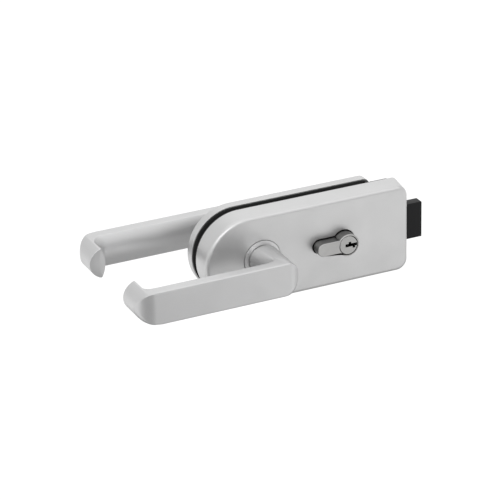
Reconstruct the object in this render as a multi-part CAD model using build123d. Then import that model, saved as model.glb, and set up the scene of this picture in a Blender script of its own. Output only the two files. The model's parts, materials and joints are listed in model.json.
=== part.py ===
from build123d import *
import math
import os

# Glass door lever lockset, in millimetres.
# X runs along the case towards the bolt, -Y is the front, +Z is up.
# The origin is on the spindle axis, midway between the two metal shells.

# Shells, seen from the front
case_height = 67.0
case_left_reach = 44.0
case_right_reach = 118.0
case_corner_radius = 9.0
shell_gap = 7.4
front_depth = 18.0
front_edge_round = 3.0
front_wall = 1.8
rear_right_reach = 99.5
rear_depth = 9.0
rear_edge_round = 2.6
rear_wall = 1.6

# Plates and gaskets on both sides of the pane
front_plate_thickness = 1.5
rear_plate_thickness = 2.2
plate_fit = 0.1
front_gasket_thickness = 2.0
rear_gasket_thickness = 0.9
gasket_inset = 0.7
plate_rest_length = 7.0
plate_rest_width = 1.6
plate_rest_reach_left = -10.0
plate_rest_reach_middle = 50.0

# Levers, measured outwards from the shell's face
lever_reach = 41.0
grip_height = 25.0
grip_flat_depth = 8.2
grip_bulge = 4.0
grip_edge_round = 1.1
grip_end_sagitta = 8.0
return_axis_reach = 106.4
return_depth = 28.0
return_inner_sagitta = 4.6
elbow_axis_reach = 4.0
elbow_inner_reach = 4.6
elbow_inner_sagitta = 2.4
return_plan_round = 14.0
return_plan_margin = 0.9
elbow_plan_round = 9.0
neck_radius = 10.4
neck_foot = 0.7
shoulder_radius = 11.7
shoulder_offset = 1.2
shoulder_level = 4.0
neck_left_angle = 107.0
neck_right_angle = 65.0
neck_sink = 1.6

# Collars round the necks
collar_outer_radius = 14.1
collar_bore_radius = 10.8
collar_flange_radius = 17.0
collar_flange_thickness = 1.4
collar_proud = 0.5
collar_chamfer = 0.5
collar_hole_radius = 14.4
collar_seat_fit = 0.05

# Spindle and follower
spindle_width = 8.0
spindle_fit = 0.05
spindle_chamfer = 0.5
spindle_depth_in_lever = 22.0
follower_radius = 9.5
follower_journal_radius = 7.6
follower_arm_width = 7.0
follower_arm_length = 22.0
follower_arm_thickness = 3.6
follower_front_gap = 0.4
bearing_fit = 0.08
bush_wall = 1.9
bush_flange_width = 2.4
bush_flange_thickness = 1.0

# Latch slide and bolt
sliding_gap = 0.2
slide_thickness = 2.4
slide_cross_width = 6.4
slide_end_width = 3.0
slide_travel = 16.4
slide_window_fit = 1.2
slide_arm_low = 13.2
slide_arm_height = 8.3
slide_lug_width = 5.0
slide_lug_depth = 4.6
lug_gap = 0.3
key_lug_length = 5.0
key_lug_height = 2.6
bolt_thickness = 8.0
bolt_height = 27.8
bolt_projection = 16.0
bolt_nose_round = 0.6
tongue_length = 13.0
tongue_half_height = 10.0
tongue_fit = 0.05
rivet_radius = 1.5
rivet_head_radius = 2.5
rivet_head_height = 0.8
rivet_spacing = 11.0
bolt_window_fit = 0.4

# Mouthpiece that guides the bolt
guide_length = 11.5
guide_cheek_height = 8.4
guide_bridge_thickness = 2.6
guide_fit = 0.3

# Latch spring
latch_spring_gap = 1.1
latch_spring_radius = 2.8
latch_spring_wire = 0.45
latch_spring_turns = 7
latch_spring_end_gap = 0.1
spring_post_reach = 38.0
spring_post_width = 3.0
spring_tab_reach = 70.0
spring_tab_width = 3.0
spring_seat_half_height = 4.0
spring_seat_depth = 9.6
spring_spigot_radius = 1.6
spring_spigot_length = 7.0

# Return spring of the follower
return_spring_radius = 10.9
return_spring_wire = 0.75
return_spring_quarters = 10
return_spring_pitch = 1.7
return_spring_leg = 7.6
spring_peg_radius = 1.6
spring_peg_height = 2.6
spring_peg_distance = 16.5
spring_anchor_radius = 2.2
spring_contact_gap = 0.1

# Profile half cylinder
cylinder_reach = 65.0
cylinder_radius = 8.5
web_half_width = 5.0
web_length = 24.5
cylinder_front_half = 30.0
cylinder_rear_half = 10.0
cylinder_hole_fit = 0.5
plug_radius = 6.9
plug_lip_radius = 7.3
plug_lip_height = 0.5
plug_tail_radius = 5.0
plug_fit = 0.08
cam_width = 10.0
cam_gap_fit = 0.15
cam_hub_radius = 7.6
cam_reach = 15.3
cam_nose_width = 7.0
cam_sweep_clearance = 0.9
keyway_start = 2.6
keyway_thickness = 1.5
keyway_ward_width = 2.0
keyway_ward_depth = 1.1
keyway_length = 24.0
pin_count = 5
pin_radius = 1.4
pin_fit = 0.05
pin_pitch = 4.4
first_pin_depth = 4.6
driver_pin_length = 4.0
pin_cap_length = 2.0
pin_cap_sink = 0.4
clip_groove_depth = 0.4
clip_width = 0.8
clip_ring_width = 1.9
clip_mouth = 6.0

# Screws and sleeves
clamp_screw_radius = 2.5
clamp_head_radius = 4.4
clamp_head_height = 2.6
sleeve_radius = 4.6
sleeve_fit = 0.2
clamp_boss_radius = 4.2
clamp_boss_height = 3.0
thread_fit = 0.05
screw_hole_fit = 0.3
clamp_left_reach = 32.0
clamp_low_reach = 27.0
clamp_level_share = 0.54
cover_screw_radius = 1.5
cover_head_radius = 2.8
cover_head_height = 1.5
cover_screw_length = 5.0
cover_lug_length = 8.0
cover_lug_height = 3.2
front_lug_depth = 6.2
rear_lug_depth = 4.0
cover_screw_reach_left = 6.0
cover_screw_reach_right = 77.5
guide_screw_radius = 1.5
guide_head_radius = 2.7
guide_head_height = 1.5
cylinder_screw_radius = 2.5
cylinder_screw_length = 9.5
cylinder_head_radius = 3.4
cylinder_head_height = 2.4
cylinder_lug_thickness = 2.0
cylinder_lug_length = 10.0
cylinder_lug_level = 8.5
web_screw_offset = 19.5
grub_radius = 2.5
grub_depth = 9.0
grub_sink = 0.6
socket_share = 0.5
socket_depth_share = 0.6
drive_slot_share = 0.3

# Length by which a cutting body runs past the face that it opens
overrun = 1.0

# Levels along Y, from the front to the back
front_rim_y = -shell_gap / 2
front_face_y = front_rim_y - front_depth
front_inner_y = front_face_y + front_wall
front_plate_y = front_rim_y - front_plate_thickness
front_gasket_back_y = front_rim_y + front_gasket_thickness
rear_rim_y = shell_gap / 2
rear_face_y = rear_rim_y + rear_depth
rear_inner_y = rear_face_y - rear_wall
rear_plate_y = rear_rim_y + rear_plate_thickness
rear_gasket_front_y = rear_rim_y - rear_gasket_thickness
slide_back_y = front_plate_y - sliding_gap
slide_front_y = slide_back_y - slide_thickness
bolt_front_y = slide_back_y - bolt_thickness
arm_back_y = slide_front_y - lug_gap
arm_front_y = arm_back_y - follower_arm_thickness
lug_front_y = slide_front_y - slide_lug_depth
cylinder_front_y = -cylinder_front_half
cylinder_back_y = cylinder_rear_half
cam_half_width = cam_width / 2
cam_gap_half = cam_half_width + cam_gap_fit

# Places seen from the front
case_half_height = case_height / 2
round_end_x = case_half_height - case_left_reach
shell_inner_half_height = case_half_height - front_wall
bolt_half_height = bolt_height / 2
window_half_height = cylinder_radius + slide_window_fit
key_lug_low = window_half_height - key_lug_height
window_left_x = cylinder_reach - web_length - slide_window_fit
window_right_x = cylinder_reach + cylinder_radius + slide_travel + slide_window_fit
slide_left_x = window_left_x - slide_cross_width
slide_right_x = window_right_x + slide_end_width
arm_half_width = follower_arm_width / 2
slide_lug_right_x = -arm_half_width - lug_gap
slide_lug_left_x = slide_lug_right_x - slide_lug_width
cam_cutout_radius = cam_reach + cam_sweep_clearance
rivet_x = slide_right_x + tongue_length / 2
guide_right_x = case_right_reach - front_wall - plate_fit
guide_left_x = guide_right_x - guide_length
latch_spring_level = bolt_half_height + latch_spring_gap + spring_seat_half_height
guide_screw_level = bolt_half_height + guide_fit + guide_cheek_height / 2
cover_screw_level = (front_face_y + front_plate_y) / 2
web_screw_x = cylinder_reach - web_screw_offset
clamp_space = shell_inner_half_height - bolt_half_height
clamp_level = bolt_half_height + clamp_space * clamp_level_share
clamp_right_x = (spring_tab_reach + spring_tab_width + guide_left_x) / 2
clamp_places = [
    (-clamp_left_reach, 0),
    (clamp_low_reach, -clamp_level),
    (clamp_right_x, clamp_level),
    (clamp_right_x, -clamp_level),
]
plate_rest_right_x = case_right_reach - case_corner_radius - plate_rest_length / 2
plate_rest_places = [plate_rest_reach_left, plate_rest_reach_middle, plate_rest_right_x]
cover_screw_places = [cover_screw_reach_left, cover_screw_reach_right]


def slab(sketch, front_y, back_y):
    """A flat outline in X and Z, made solid between two levels along Y."""
    return extrude(Plane.XZ.offset(-back_y) * sketch, amount=back_y - front_y)


def block(left_x, right_x, front_y, back_y, low_z, high_z):
    """A box between three pairs of levels."""
    size = (right_x - left_x, back_y - front_y, high_z - low_z)
    centre = ((left_x + right_x) / 2, (front_y + back_y) / 2, (low_z + high_z) / 2)
    return Pos(*centre) * Box(*size)


def rod(x, z, radius, front_y, back_y):
    """A round bar along Y."""
    return slab(Pos(x, z) * Circle(radius), front_y, back_y)


def rectangle_between(left_x, right_x, low_z, high_z):
    """A rectangle given by its four sides."""
    centre = Pos((left_x + right_x) / 2, (low_z + high_z) / 2)
    return centre * Rectangle(right_x - left_x, high_z - low_z)


def case_outline(right_reach, inset=0):
    """The case seen from the front: a half round left end and two rounded right corners."""
    half_height = case_half_height - inset
    straight = rectangle_between(round_end_x, right_reach - inset, -half_height, half_height)
    corners = straight.vertices().sort_by(Axis.X)[-2:]
    straight = fillet(corners, case_corner_radius - inset)
    return straight + Pos(round_end_x, 0) * Circle(half_height)


def pear_outline(margin=0):
    """Profile of the lock cylinder, its web pointing at the spindle."""
    foot_x = cylinder_reach - web_length + web_half_width
    half_width = web_half_width + margin
    web = rectangle_between(foot_x, cylinder_reach, -half_width, half_width)
    barrel = Pos(cylinder_reach, 0) * Circle(cylinder_radius + margin)
    return barrel + web + Pos(foot_x, 0) * Circle(half_width)


def pane_cutout():
    """Hole through plates and gaskets for the cylinder, its cam and the slide's key lug."""
    lug_left_x = window_left_x - slide_travel - lug_gap
    lug_slot = rectangle_between(
        lug_left_x,
        cylinder_reach,
        key_lug_low - sliding_gap,
        window_half_height + sliding_gap,
    )
    cam_hole = Pos(cylinder_reach, 0) * Circle(cam_cutout_radius)
    return pear_outline(cylinder_hole_fit) + cam_hole + lug_slot


def countersunk_screw(shank_radius, length, head_radius, head_height):
    """A screw along +Z, its head's flat top at the origin and its tip below."""
    profile = Polyline(
        (0, 0),
        (head_radius, 0),
        (shank_radius, -head_height),
        (shank_radius, -length),
        (0, -length),
        close=True,
    )
    body = revolve(make_face(Plane.XZ * profile), Axis.Z)
    socket_depth = head_height * socket_depth_share
    socket = RegularPolygon(head_radius * socket_share, 6)
    return body - Pos(0, 0, -socket_depth) * extrude(socket, amount=socket_depth + overrun)


def cap_screw(shank_radius, length, head_radius, head_height):
    """A socket screw along +Z, the underside of its head at the origin and its tip below."""
    shank = Pos(0, 0, -length / 2) * Cylinder(shank_radius, length)
    head = Pos(0, 0, head_height / 2) * Cylinder(head_radius, head_height)
    head = chamfer(head.edges().sort_by(Axis.Z)[-1], head_height * drive_slot_share)
    socket_depth = head_height * socket_depth_share
    socket = RegularPolygon(head_radius * socket_share, 6)
    cut = Pos(0, 0, head_height - socket_depth) * extrude(socket, amount=socket_depth + overrun)
    return shank + head - cut


def grub_screw(radius, length):
    """A headless screw along +Z, its socket end at the origin and its tip below."""
    body = Pos(0, 0, -length / 2) * Cylinder(radius, length)
    body = chamfer(body.edges().sort_by(Axis.Z)[0], radius * drive_slot_share)
    socket_depth = radius * socket_depth_share
    socket = RegularPolygon(radius * socket_share, 6)
    return body - Pos(0, 0, -socket_depth) * extrude(socket, amount=socket_depth + overrun)


def biarc(start, start_way, end, end_way):
    """Two arcs that join two points and keep the given direction at each."""
    chord = end - start
    both = chord.dot(start_way + end_way)
    spread = 2 * (1 - start_way.dot(end_way))
    reach = (math.sqrt(both**2 + spread * chord.dot(chord)) - both) / spread
    start_tip = start + start_way * reach
    end_tip = end - end_way * reach
    middle = (start_tip + end_tip) * (1 / 2)
    way = (end_tip - start_tip).normalized()
    return [TangentArc(start, middle, tangent=start_way), TangentArc(middle, end, tangent=way)]


def coil_path(radius, pitch, quarters, start_angle=0):
    """The centre line of a coil round Z, climbing from zero, as biarcs of a quarter turn."""
    edges = []
    quarter = math.pi / 2
    rise = pitch / (2 * math.pi)

    def place(angle):
        turn = angle + math.radians(start_angle)
        return Vector(radius * math.cos(turn), radius * math.sin(turn), rise * angle)

    def way(angle):
        turn = angle + math.radians(start_angle)
        return Vector(-radius * math.sin(turn), radius * math.cos(turn), rise).normalized()

    for step in range(quarters):
        low = step * quarter
        high = low + quarter
        edges += biarc(place(low), way(low), place(high), way(high))
    return edges


def wire_along(edges, wire_radius):
    """A round wire swept along tangent edges."""
    path = Wire(edges)
    section = Plane(origin=path @ 0, z_dir=path % 0) * Circle(wire_radius)
    return sweep(section, path=path)


def make_front_cover():
    """Deep shell with a round left end, open at the back."""
    shell = slab(case_outline(case_right_reach), front_face_y, front_rim_y)
    shell = fillet(shell.faces().sort_by(Axis.Y)[0].edges(), front_edge_round)
    cavity = slab(case_outline(case_right_reach, front_wall), front_inner_y, front_rim_y + overrun)
    inner_round = front_edge_round - front_wall
    cavity = fillet(cavity.faces().sort_by(Axis.Y)[0].edges(), inner_round)
    shell -= cavity
    for x in plate_rest_places:
        for side in (-1, 1):
            inner_z = side * shell_inner_half_height
            low_z = min(inner_z, inner_z - side * plate_rest_width)
            high_z = low_z + plate_rest_width
            half = plate_rest_length / 2
            shell += block(x - half, x + half, front_inner_y, front_plate_y, low_z, high_z)
    shell -= rod(0, 0, collar_hole_radius, front_face_y - overrun, front_inner_y + overrun)
    shell -= slab(pear_outline(cylinder_hole_fit), front_face_y - overrun, front_inner_y + overrun)
    window_half = bolt_half_height + bolt_window_fit
    shell -= block(
        case_right_reach - front_wall - overrun,
        case_right_reach + overrun,
        bolt_front_y - bolt_window_fit,
        slide_back_y + bolt_window_fit / 2,
        -window_half,
        window_half,
    )
    for x in cover_screw_places:
        shell -= cover_screw_hole(x, cover_screw_level)
    return shell


def cover_screw_hole(x, y):
    """Countersunk hole through a shell's lower wall."""
    hole = Cylinder(cover_screw_radius + screw_hole_fit, 2 * (front_wall + overrun))
    sink = Pos(0, 0, -cover_head_height / 2) * Cone(
        cover_screw_radius,
        cover_head_radius,
        cover_head_height,
    )
    return Pos(x, y, -case_half_height) * Rot(180, 0, 0) * (hole + sink)


def make_rear_cover():
    """Shallow shell behind the pane, shorter at the bolt end."""
    shell = slab(case_outline(rear_right_reach), rear_rim_y, rear_face_y)
    shell = fillet(shell.faces().sort_by(Axis.Y)[-1].edges(), rear_edge_round)
    cavity = slab(case_outline(rear_right_reach, rear_wall), rear_rim_y - overrun, rear_inner_y)
    inner_round = rear_edge_round - rear_wall
    cavity = fillet(cavity.faces().sort_by(Axis.Y)[-1].edges(), inner_round)
    shell -= cavity
    shell -= rod(0, 0, collar_hole_radius, rear_inner_y - overrun, rear_face_y + overrun)
    for x in cover_screw_places:
        shell -= cover_screw_hole(x, rear_screw_level())
    return shell


def rear_screw_level():
    """Level along Y of the screws that hold the rear shell."""
    return rear_plate_y + rear_lug_depth / 2


def cover_lug(x, front_y, back_y, wall):
    """Block at a plate's lower edge that a cover screw bites in."""
    half = cover_lug_length / 2
    low_z = -case_half_height + wall + plate_fit
    return block(x - half, x + half, front_y, back_y, low_z, low_z + cover_lug_height)


def tapped_hole(x, y, radius, depth, low_z):
    """A blind hole that rises from a level along Z."""
    return Pos(x, y, low_z + depth / 2) * Cylinder(radius + thread_fit, depth)


def make_front_base_plate():
    """Steel plate that closes the front shell and carries the mechanism."""
    outline = case_outline(case_right_reach, front_wall + plate_fit)
    outline -= pane_cutout()
    outline -= Circle(follower_journal_radius + bearing_fit + bush_wall + collar_seat_fit)
    for x, z in clamp_places:
        outline -= Pos(x, z) * Circle(clamp_screw_radius + screw_hole_fit)
    plate = slab(outline, front_plate_y, front_rim_y)
    lug_front_level = cover_screw_level - front_lug_depth / 2
    for x in cover_screw_places:
        plate += cover_lug(x, lug_front_level, front_plate_y, front_wall)
        plate -= tapped_hole(
            x,
            cover_screw_level,
            cover_screw_radius,
            cover_screw_length + sliding_gap,
            -case_half_height,
        )
    plate += spring_post()
    anchor_front_y = return_spring_level() - return_spring_height() - return_spring_wire
    plate += rod(
        anchor_x(),
        -spring_peg_distance,
        spring_anchor_radius,
        anchor_front_y,
        front_plate_y,
    )
    for side in (-1, 1):
        hole_x = (guide_left_x + guide_right_x) / 2
        plate -= rod(
            hole_x,
            side * guide_screw_level,
            guide_screw_radius + thread_fit,
            front_plate_y - overrun,
            front_rim_y + overrun,
        )
    plate += cylinder_lug()
    return plate


def anchor_x():
    """Place along X of the post that holds the return spring's fixed leg."""
    return leg_x() + return_spring_wire + spring_contact_gap + spring_anchor_radius


def leg_x():
    """Distance along X of both legs of the return spring from the spindle."""
    return spring_peg_radius + spring_contact_gap + return_spring_wire


def spring_axis_y():
    """Level along Y of the latch spring."""
    return slide_front_y - latch_spring_radius - latch_spring_wire


def spring_post():
    """Fixed seat of the latch spring, with its spigot."""
    low_z = -latch_spring_level - spring_seat_half_height
    high_z = -latch_spring_level + spring_seat_half_height
    right_x = spring_post_reach + spring_post_width
    front_y = front_plate_y - spring_seat_depth
    post = block(spring_post_reach, right_x, front_y, front_plate_y, low_z, high_z)
    spigot = Pos(right_x, spring_axis_y(), -latch_spring_level) * Rot(0, 90, 0) * Cylinder(
        spring_spigot_radius,
        spring_spigot_length,
        align=(Align.CENTER, Align.CENTER, Align.MIN),
    )
    return post + spigot


def cylinder_lug():
    """Tab behind the plate through which the cylinder's fixing screw passes."""
    half = cylinder_lug_length / 2
    high_z = -cylinder_lug_level
    low_z = high_z - cylinder_lug_thickness
    tab = block(
        web_screw_x - half,
        web_screw_x + half,
        front_rim_y,
        cylinder_head_radius,
        low_z,
        high_z,
    )
    foot = block(
        web_screw_x - half,
        web_screw_x + half,
        front_plate_y,
        front_rim_y,
        low_z,
        high_z,
    )
    hole = Pos(web_screw_x, 0, (low_z + high_z) / 2) * Cylinder(
        cylinder_screw_radius + screw_hole_fit,
        2 * cylinder_lug_thickness,
    )
    return tab + foot - hole


def make_rear_clamp_plate():
    """Steel plate behind the pane with threaded bosses for the clamp screws."""
    outline = case_outline(rear_right_reach, rear_wall + plate_fit)
    outline -= pane_cutout()
    outline -= Circle(follower_journal_radius + bush_wall + collar_seat_fit)
    plate = slab(outline, rear_rim_y, rear_plate_y)
    for x, z in clamp_places:
        plate += rod(x, z, clamp_boss_radius, rear_plate_y, rear_plate_y + clamp_boss_height)
        plate -= rod(
            x,
            z,
            clamp_screw_radius + thread_fit,
            rear_rim_y - overrun,
            rear_plate_y + clamp_boss_height + overrun,
        )
    for x in cover_screw_places:
        plate += cover_lug(x, rear_plate_y, rear_plate_y + rear_lug_depth, rear_wall)
        plate -= tapped_hole(
            x,
            rear_screw_level(),
            cover_screw_radius,
            cover_screw_length + sliding_gap,
            -case_half_height,
        )
    return plate


def make_gasket(right_reach, front_y, back_y):
    """Rubber lining of one side of the pane slot."""
    outline = case_outline(right_reach, gasket_inset)
    outline -= pane_cutout()
    outline -= Circle(collar_bore_radius)
    for x, z in clamp_places:
        outline -= Pos(x, z) * Circle(sleeve_radius + sleeve_fit)
    lug_half = cylinder_lug_length / 2 + sleeve_fit
    lug_low_z = -cylinder_lug_level - cylinder_lug_thickness - sleeve_fit
    screw_low_z = lug_low_z - cylinder_head_height
    lug_left_x = web_screw_x - lug_half
    lug_right_x = web_screw_x + lug_half
    outline -= rectangle_between(lug_left_x, lug_right_x, screw_low_z, 0)
    return slab(outline, front_y, back_y)


def make_collar():
    """Collar round a lever's neck, for a shell whose face is at zero and whose inside is behind."""
    flange_front_y = front_wall
    profile = Polyline(
        (collar_bore_radius, flange_front_y + collar_flange_thickness),
        (collar_bore_radius, -collar_proud),
        (collar_outer_radius - collar_chamfer, -collar_proud),
        (collar_outer_radius, -collar_proud + collar_chamfer),
        (collar_outer_radius, flange_front_y),
        (collar_flange_radius, flange_front_y),
        (collar_flange_radius, flange_front_y + collar_flange_thickness),
        close=True,
    )
    return revolve(make_face(profile), Axis.Y)


def lever_outline():
    """The lever seen from the front: two straight sides between two shallow arcs."""
    half = grip_height / 2
    left = -return_axis_reach
    right = elbow_axis_reach
    return make_face(
        [
            ThreePointArc((left, half), (left - grip_end_sagitta, 0), (left, -half)),
            Line((left, -half), (right, -half)),
            ThreePointArc((right, -half), (right + grip_end_sagitta, 0), (right, half)),
            Line((right, half), (left, half)),
        ]
    )


def return_outline():
    """Almond section of the return, pointed at its top and bottom."""
    half = grip_height / 2
    tip = -return_axis_reach
    return make_face(
        [
            ThreePointArc((tip, half), (tip - grip_end_sagitta, 0), (tip, -half)),
            ThreePointArc((tip, -half), (tip + return_inner_sagitta, 0), (tip, half)),
        ]
    )


def elbow_outline():
    """Section of the elbow: two straight sides between two shallow arcs of unlike depth."""
    half = grip_height / 2
    left = -elbow_inner_reach
    right = elbow_axis_reach
    return make_face(
        [
            ThreePointArc((left, half), (left - elbow_inner_sagitta, 0), (left, -half)),
            Line((left, -half), (right, -half)),
            ThreePointArc((right, -half), (right + grip_end_sagitta, 0), (right, half)),
            Line((right, half), (left, half)),
        ]
    )


def neck_outline(radius, centre_x):
    """A circle in four arcs that lie opposite the elbow's four sides."""

    def place(angle):
        turn = math.radians(angle)
        return (centre_x + radius * math.cos(turn), radius * math.sin(turn))

    top_angle = (neck_left_angle + neck_right_angle) / 2
    left_high = place(neck_left_angle)
    left_low = place(-neck_left_angle)
    right_low = place(-neck_right_angle)
    right_high = place(neck_right_angle)
    return make_face(
        [
            ThreePointArc(left_high, (centre_x - radius, 0), left_low),
            ThreePointArc(left_low, place(-top_angle), right_low),
            ThreePointArc(right_low, (centre_x + radius, 0), right_high),
            ThreePointArc(right_high, place(top_angle), left_high),
        ]
    )


def make_lever():
    """A lever whose shell face is at zero and which stands out along -Y."""
    half = grip_height / 2
    flat_y = -lever_reach + grip_flat_depth
    inner_y = flat_y + grip_bulge
    section = make_face(
        [
            Line((-lever_reach, -half), (-lever_reach, half)),
            Line((-lever_reach, half), (flat_y, half)),
            ThreePointArc((flat_y, half), (inner_y, 0), (flat_y, -half)),
            Line((flat_y, -half), (-lever_reach, -half)),
        ]
    )
    section = fillet(section.vertices().sort_by(Axis.X)[:2], grip_edge_round)
    left_x = -return_axis_reach - grip_end_sagitta
    right_x = elbow_axis_reach + grip_end_sagitta
    bar = extrude(Plane.YZ.offset(left_x) * section, amount=right_x - left_x)
    bar &= slab(lever_outline(), -lever_reach, inner_y)
    bar -= slab(rectangle_between(0, right_x, -half, half), flat_y, inner_y)
    tip = slab(return_outline(), -lever_reach + grip_edge_round, -lever_reach + return_depth)
    foot = Plane.XZ.offset(neck_foot) * neck_outline(neck_radius, 0)
    shoulder = Plane.XZ.offset(shoulder_level) * neck_outline(shoulder_radius, shoulder_offset)
    neck_end = Plane.XZ.offset(lever_reach - grip_flat_depth) * elbow_outline()
    neck = loft([foot, shoulder]) + loft([shoulder, neck_end])
    neck += slab(Circle(neck_radius), -neck_foot, neck_sink)
    elbow = slab(elbow_outline(), -lever_reach + grip_edge_round, flat_y)
    lever = bar + tip + elbow + neck
    lever &= lever_plan_prism()
    socket_width = spindle_width + 2 * spindle_fit
    socket = Rectangle(socket_width, socket_width)
    lever -= slab(socket, -spindle_depth_in_lever, neck_sink + overrun)
    grub_hole_depth = neck_radius + overrun
    grub_hole = Cylinder(grub_radius + thread_fit, grub_hole_depth)
    lever -= Pos(0, -grub_depth, -grub_hole_depth / 2) * grub_hole
    return lever


def lever_plan_prism():
    """The lever seen from above: a bar with two rounded outer corners."""
    left_x = -return_axis_reach - grip_end_sagitta - return_plan_margin
    right_x = elbow_axis_reach + grip_end_sagitta
    back_y = neck_sink + overrun
    centre = Pos((left_x + right_x) / 2, (back_y - lever_reach) / 2)
    plan = centre * Rectangle(right_x - left_x, back_y + lever_reach)
    front_corners = plan.vertices().sort_by(Axis.Y)[:2].sort_by(Axis.X)
    plan = fillet(front_corners[0], return_plan_round)
    front_corners = plan.vertices().sort_by(Axis.Y)[:2].sort_by(Axis.X)
    plan = fillet(front_corners[1], elbow_plan_round)
    return extrude(plan, amount=grip_height, both=True)


def make_lever_screw():
    """Grub screw in the neck's underside, its tip on the spindle."""
    length = neck_radius - grub_sink - spindle_width / 2 - spindle_fit
    place = Pos(0, -grub_depth, -neck_radius + grub_sink) * Rot(180, 0, 0)
    return place * grub_screw(grub_radius, length)


def make_spindle():
    """Square bar through both levers and the follower."""
    front_y = front_face_y - spindle_depth_in_lever + sliding_gap
    back_y = rear_face_y + spindle_depth_in_lever - sliding_gap
    bar = slab(Rectangle(spindle_width, spindle_width), front_y, back_y)
    return chamfer(bar.faces().sort_by(Axis.Y)[0].edges(), spindle_chamfer)


def follower_front_y():
    """Front end of the follower, just behind the collar's flange."""
    return front_inner_y + collar_flange_thickness + follower_front_gap


def make_follower():
    """Hub on the spindle with the arm that draws the slide, and the peg for its spring."""
    hub = rod(0, 0, follower_radius, follower_front_y(), arm_back_y)
    journal = rod(0, 0, follower_journal_radius, arm_back_y, front_rim_y)
    tip_centre = follower_arm_length - arm_half_width
    arm = rectangle_between(-arm_half_width, arm_half_width, 0, tip_centre)
    arm += Pos(0, tip_centre) * Circle(arm_half_width)
    body = hub + journal + slab(arm, arm_front_y, arm_back_y)
    peg_front_y = arm_front_y - spring_peg_height
    body += rod(0, spring_peg_distance, spring_peg_radius, peg_front_y, arm_front_y)
    hole_width = spindle_width + 2 * spindle_fit
    hole = Rectangle(hole_width, hole_width)
    return body - slab(hole, follower_front_y() - overrun, front_rim_y + overrun)


def make_bush(bore_radius, flange_y, seat_y, end_y):
    """Flanged bearing bush along Y: its flange lies from flange_y to seat_y."""
    outer = follower_journal_radius + bush_wall
    if bore_radius > follower_journal_radius:
        outer = bore_radius + bush_wall
    body = rod(0, 0, outer, min(seat_y, end_y), max(seat_y, end_y))
    body += rod(0, 0, outer + bush_flange_width, min(flange_y, seat_y), max(flange_y, seat_y))
    low = min(flange_y, end_y) - overrun
    high = max(flange_y, end_y) + overrun
    return body - rod(0, 0, bore_radius, low, high)


def make_follower_bush():
    """Bush of the follower's journal, flanged on the front of the base plate."""
    bore = follower_journal_radius + bearing_fit
    return make_bush(bore, front_plate_y - bush_flange_thickness, front_plate_y, front_rim_y)


def make_rear_bush():
    """Bush round the spindle in the clamp plate, flanged on the plate's back."""
    bore = follower_journal_radius
    return make_bush(bore, rear_plate_y + bush_flange_thickness, rear_plate_y, rear_rim_y)


def return_spring_level():
    """Level along Y of the return spring's leg on the arm's peg."""
    return arm_front_y - return_spring_wire - spring_contact_gap


def return_spring_height():
    """Distance along Y between the two legs of the return spring."""
    return return_spring_pitch * return_spring_quarters / 4


def make_follower_spring():
    """Torsion spring round the hub, one leg on the arm's peg and one on the anchor post."""
    start_angle = math.degrees(math.acos(-leg_x() / return_spring_radius))
    coil = coil_path(
        return_spring_radius,
        return_spring_pitch,
        return_spring_quarters,
        start_angle,
    )
    body = wire_along(coil, return_spring_wire)
    leg = Cylinder(
        return_spring_wire,
        return_spring_leg,
        align=(Align.CENTER, Align.CENTER, Align.MIN),
    )
    leg += Sphere(return_spring_wire)
    end_z = return_spring_radius * math.sin(math.radians(start_angle))
    body += Pos(-leg_x(), end_z, 0) * Rot(-90, 0, 0) * leg
    body += Pos(leg_x(), -end_z, return_spring_height()) * Rot(90, 0, 0) * leg
    return Pos(0, return_spring_level(), 0) * Rot(90, 0, 0) * body


def slide_outline():
    """Slide seen from the front: a window round the cylinder and an arm over the hub."""
    frame = rectangle_between(slide_left_x, slide_right_x, -bolt_half_height, bolt_half_height)
    window = rectangle_between(
        window_left_x,
        window_right_x,
        -window_half_height,
        window_half_height,
    )
    arm_high = slide_arm_low + slide_arm_height
    arm_right = slide_left_x + slide_cross_width
    arm = rectangle_between(slide_lug_left_x, arm_right, slide_arm_low, arm_high)
    tongue_right = slide_right_x + tongue_length - tongue_fit
    tongue_half = tongue_half_height - tongue_fit
    tongue = rectangle_between(slide_right_x, tongue_right, -tongue_half, tongue_half)
    return frame - window + arm + tongue


def make_latch_slide():
    """Flat carrier of the bolt with its lugs for the follower, the key and the spring."""
    body = slab(slide_outline(), slide_front_y, slide_back_y)
    arm_high = slide_arm_low + slide_arm_height
    body += block(
        slide_lug_left_x,
        slide_lug_right_x,
        lug_front_y,
        slide_front_y,
        slide_arm_low,
        arm_high,
    )
    key_right = window_left_x + key_lug_length
    key_high = window_half_height
    key_left = window_left_x - key_lug_length
    body += block(key_left, key_right, slide_front_y, slide_back_y, key_lug_low, key_high)
    body += block(
        window_left_x,
        key_right,
        slide_back_y,
        front_gasket_back_y,
        key_lug_low,
        key_high,
    )
    tab_low = -latch_spring_level - spring_seat_half_height
    body += block(
        spring_tab_reach,
        spring_tab_reach + spring_tab_width,
        slide_back_y - spring_seat_depth + sliding_gap,
        slide_back_y,
        tab_low,
        -window_half_height,
    )
    for side in (-1, 1):
        body -= rod(
            rivet_x,
            side * rivet_spacing / 2,
            rivet_radius + thread_fit,
            slide_front_y - overrun,
            slide_back_y + overrun,
        )
    return body


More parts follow.
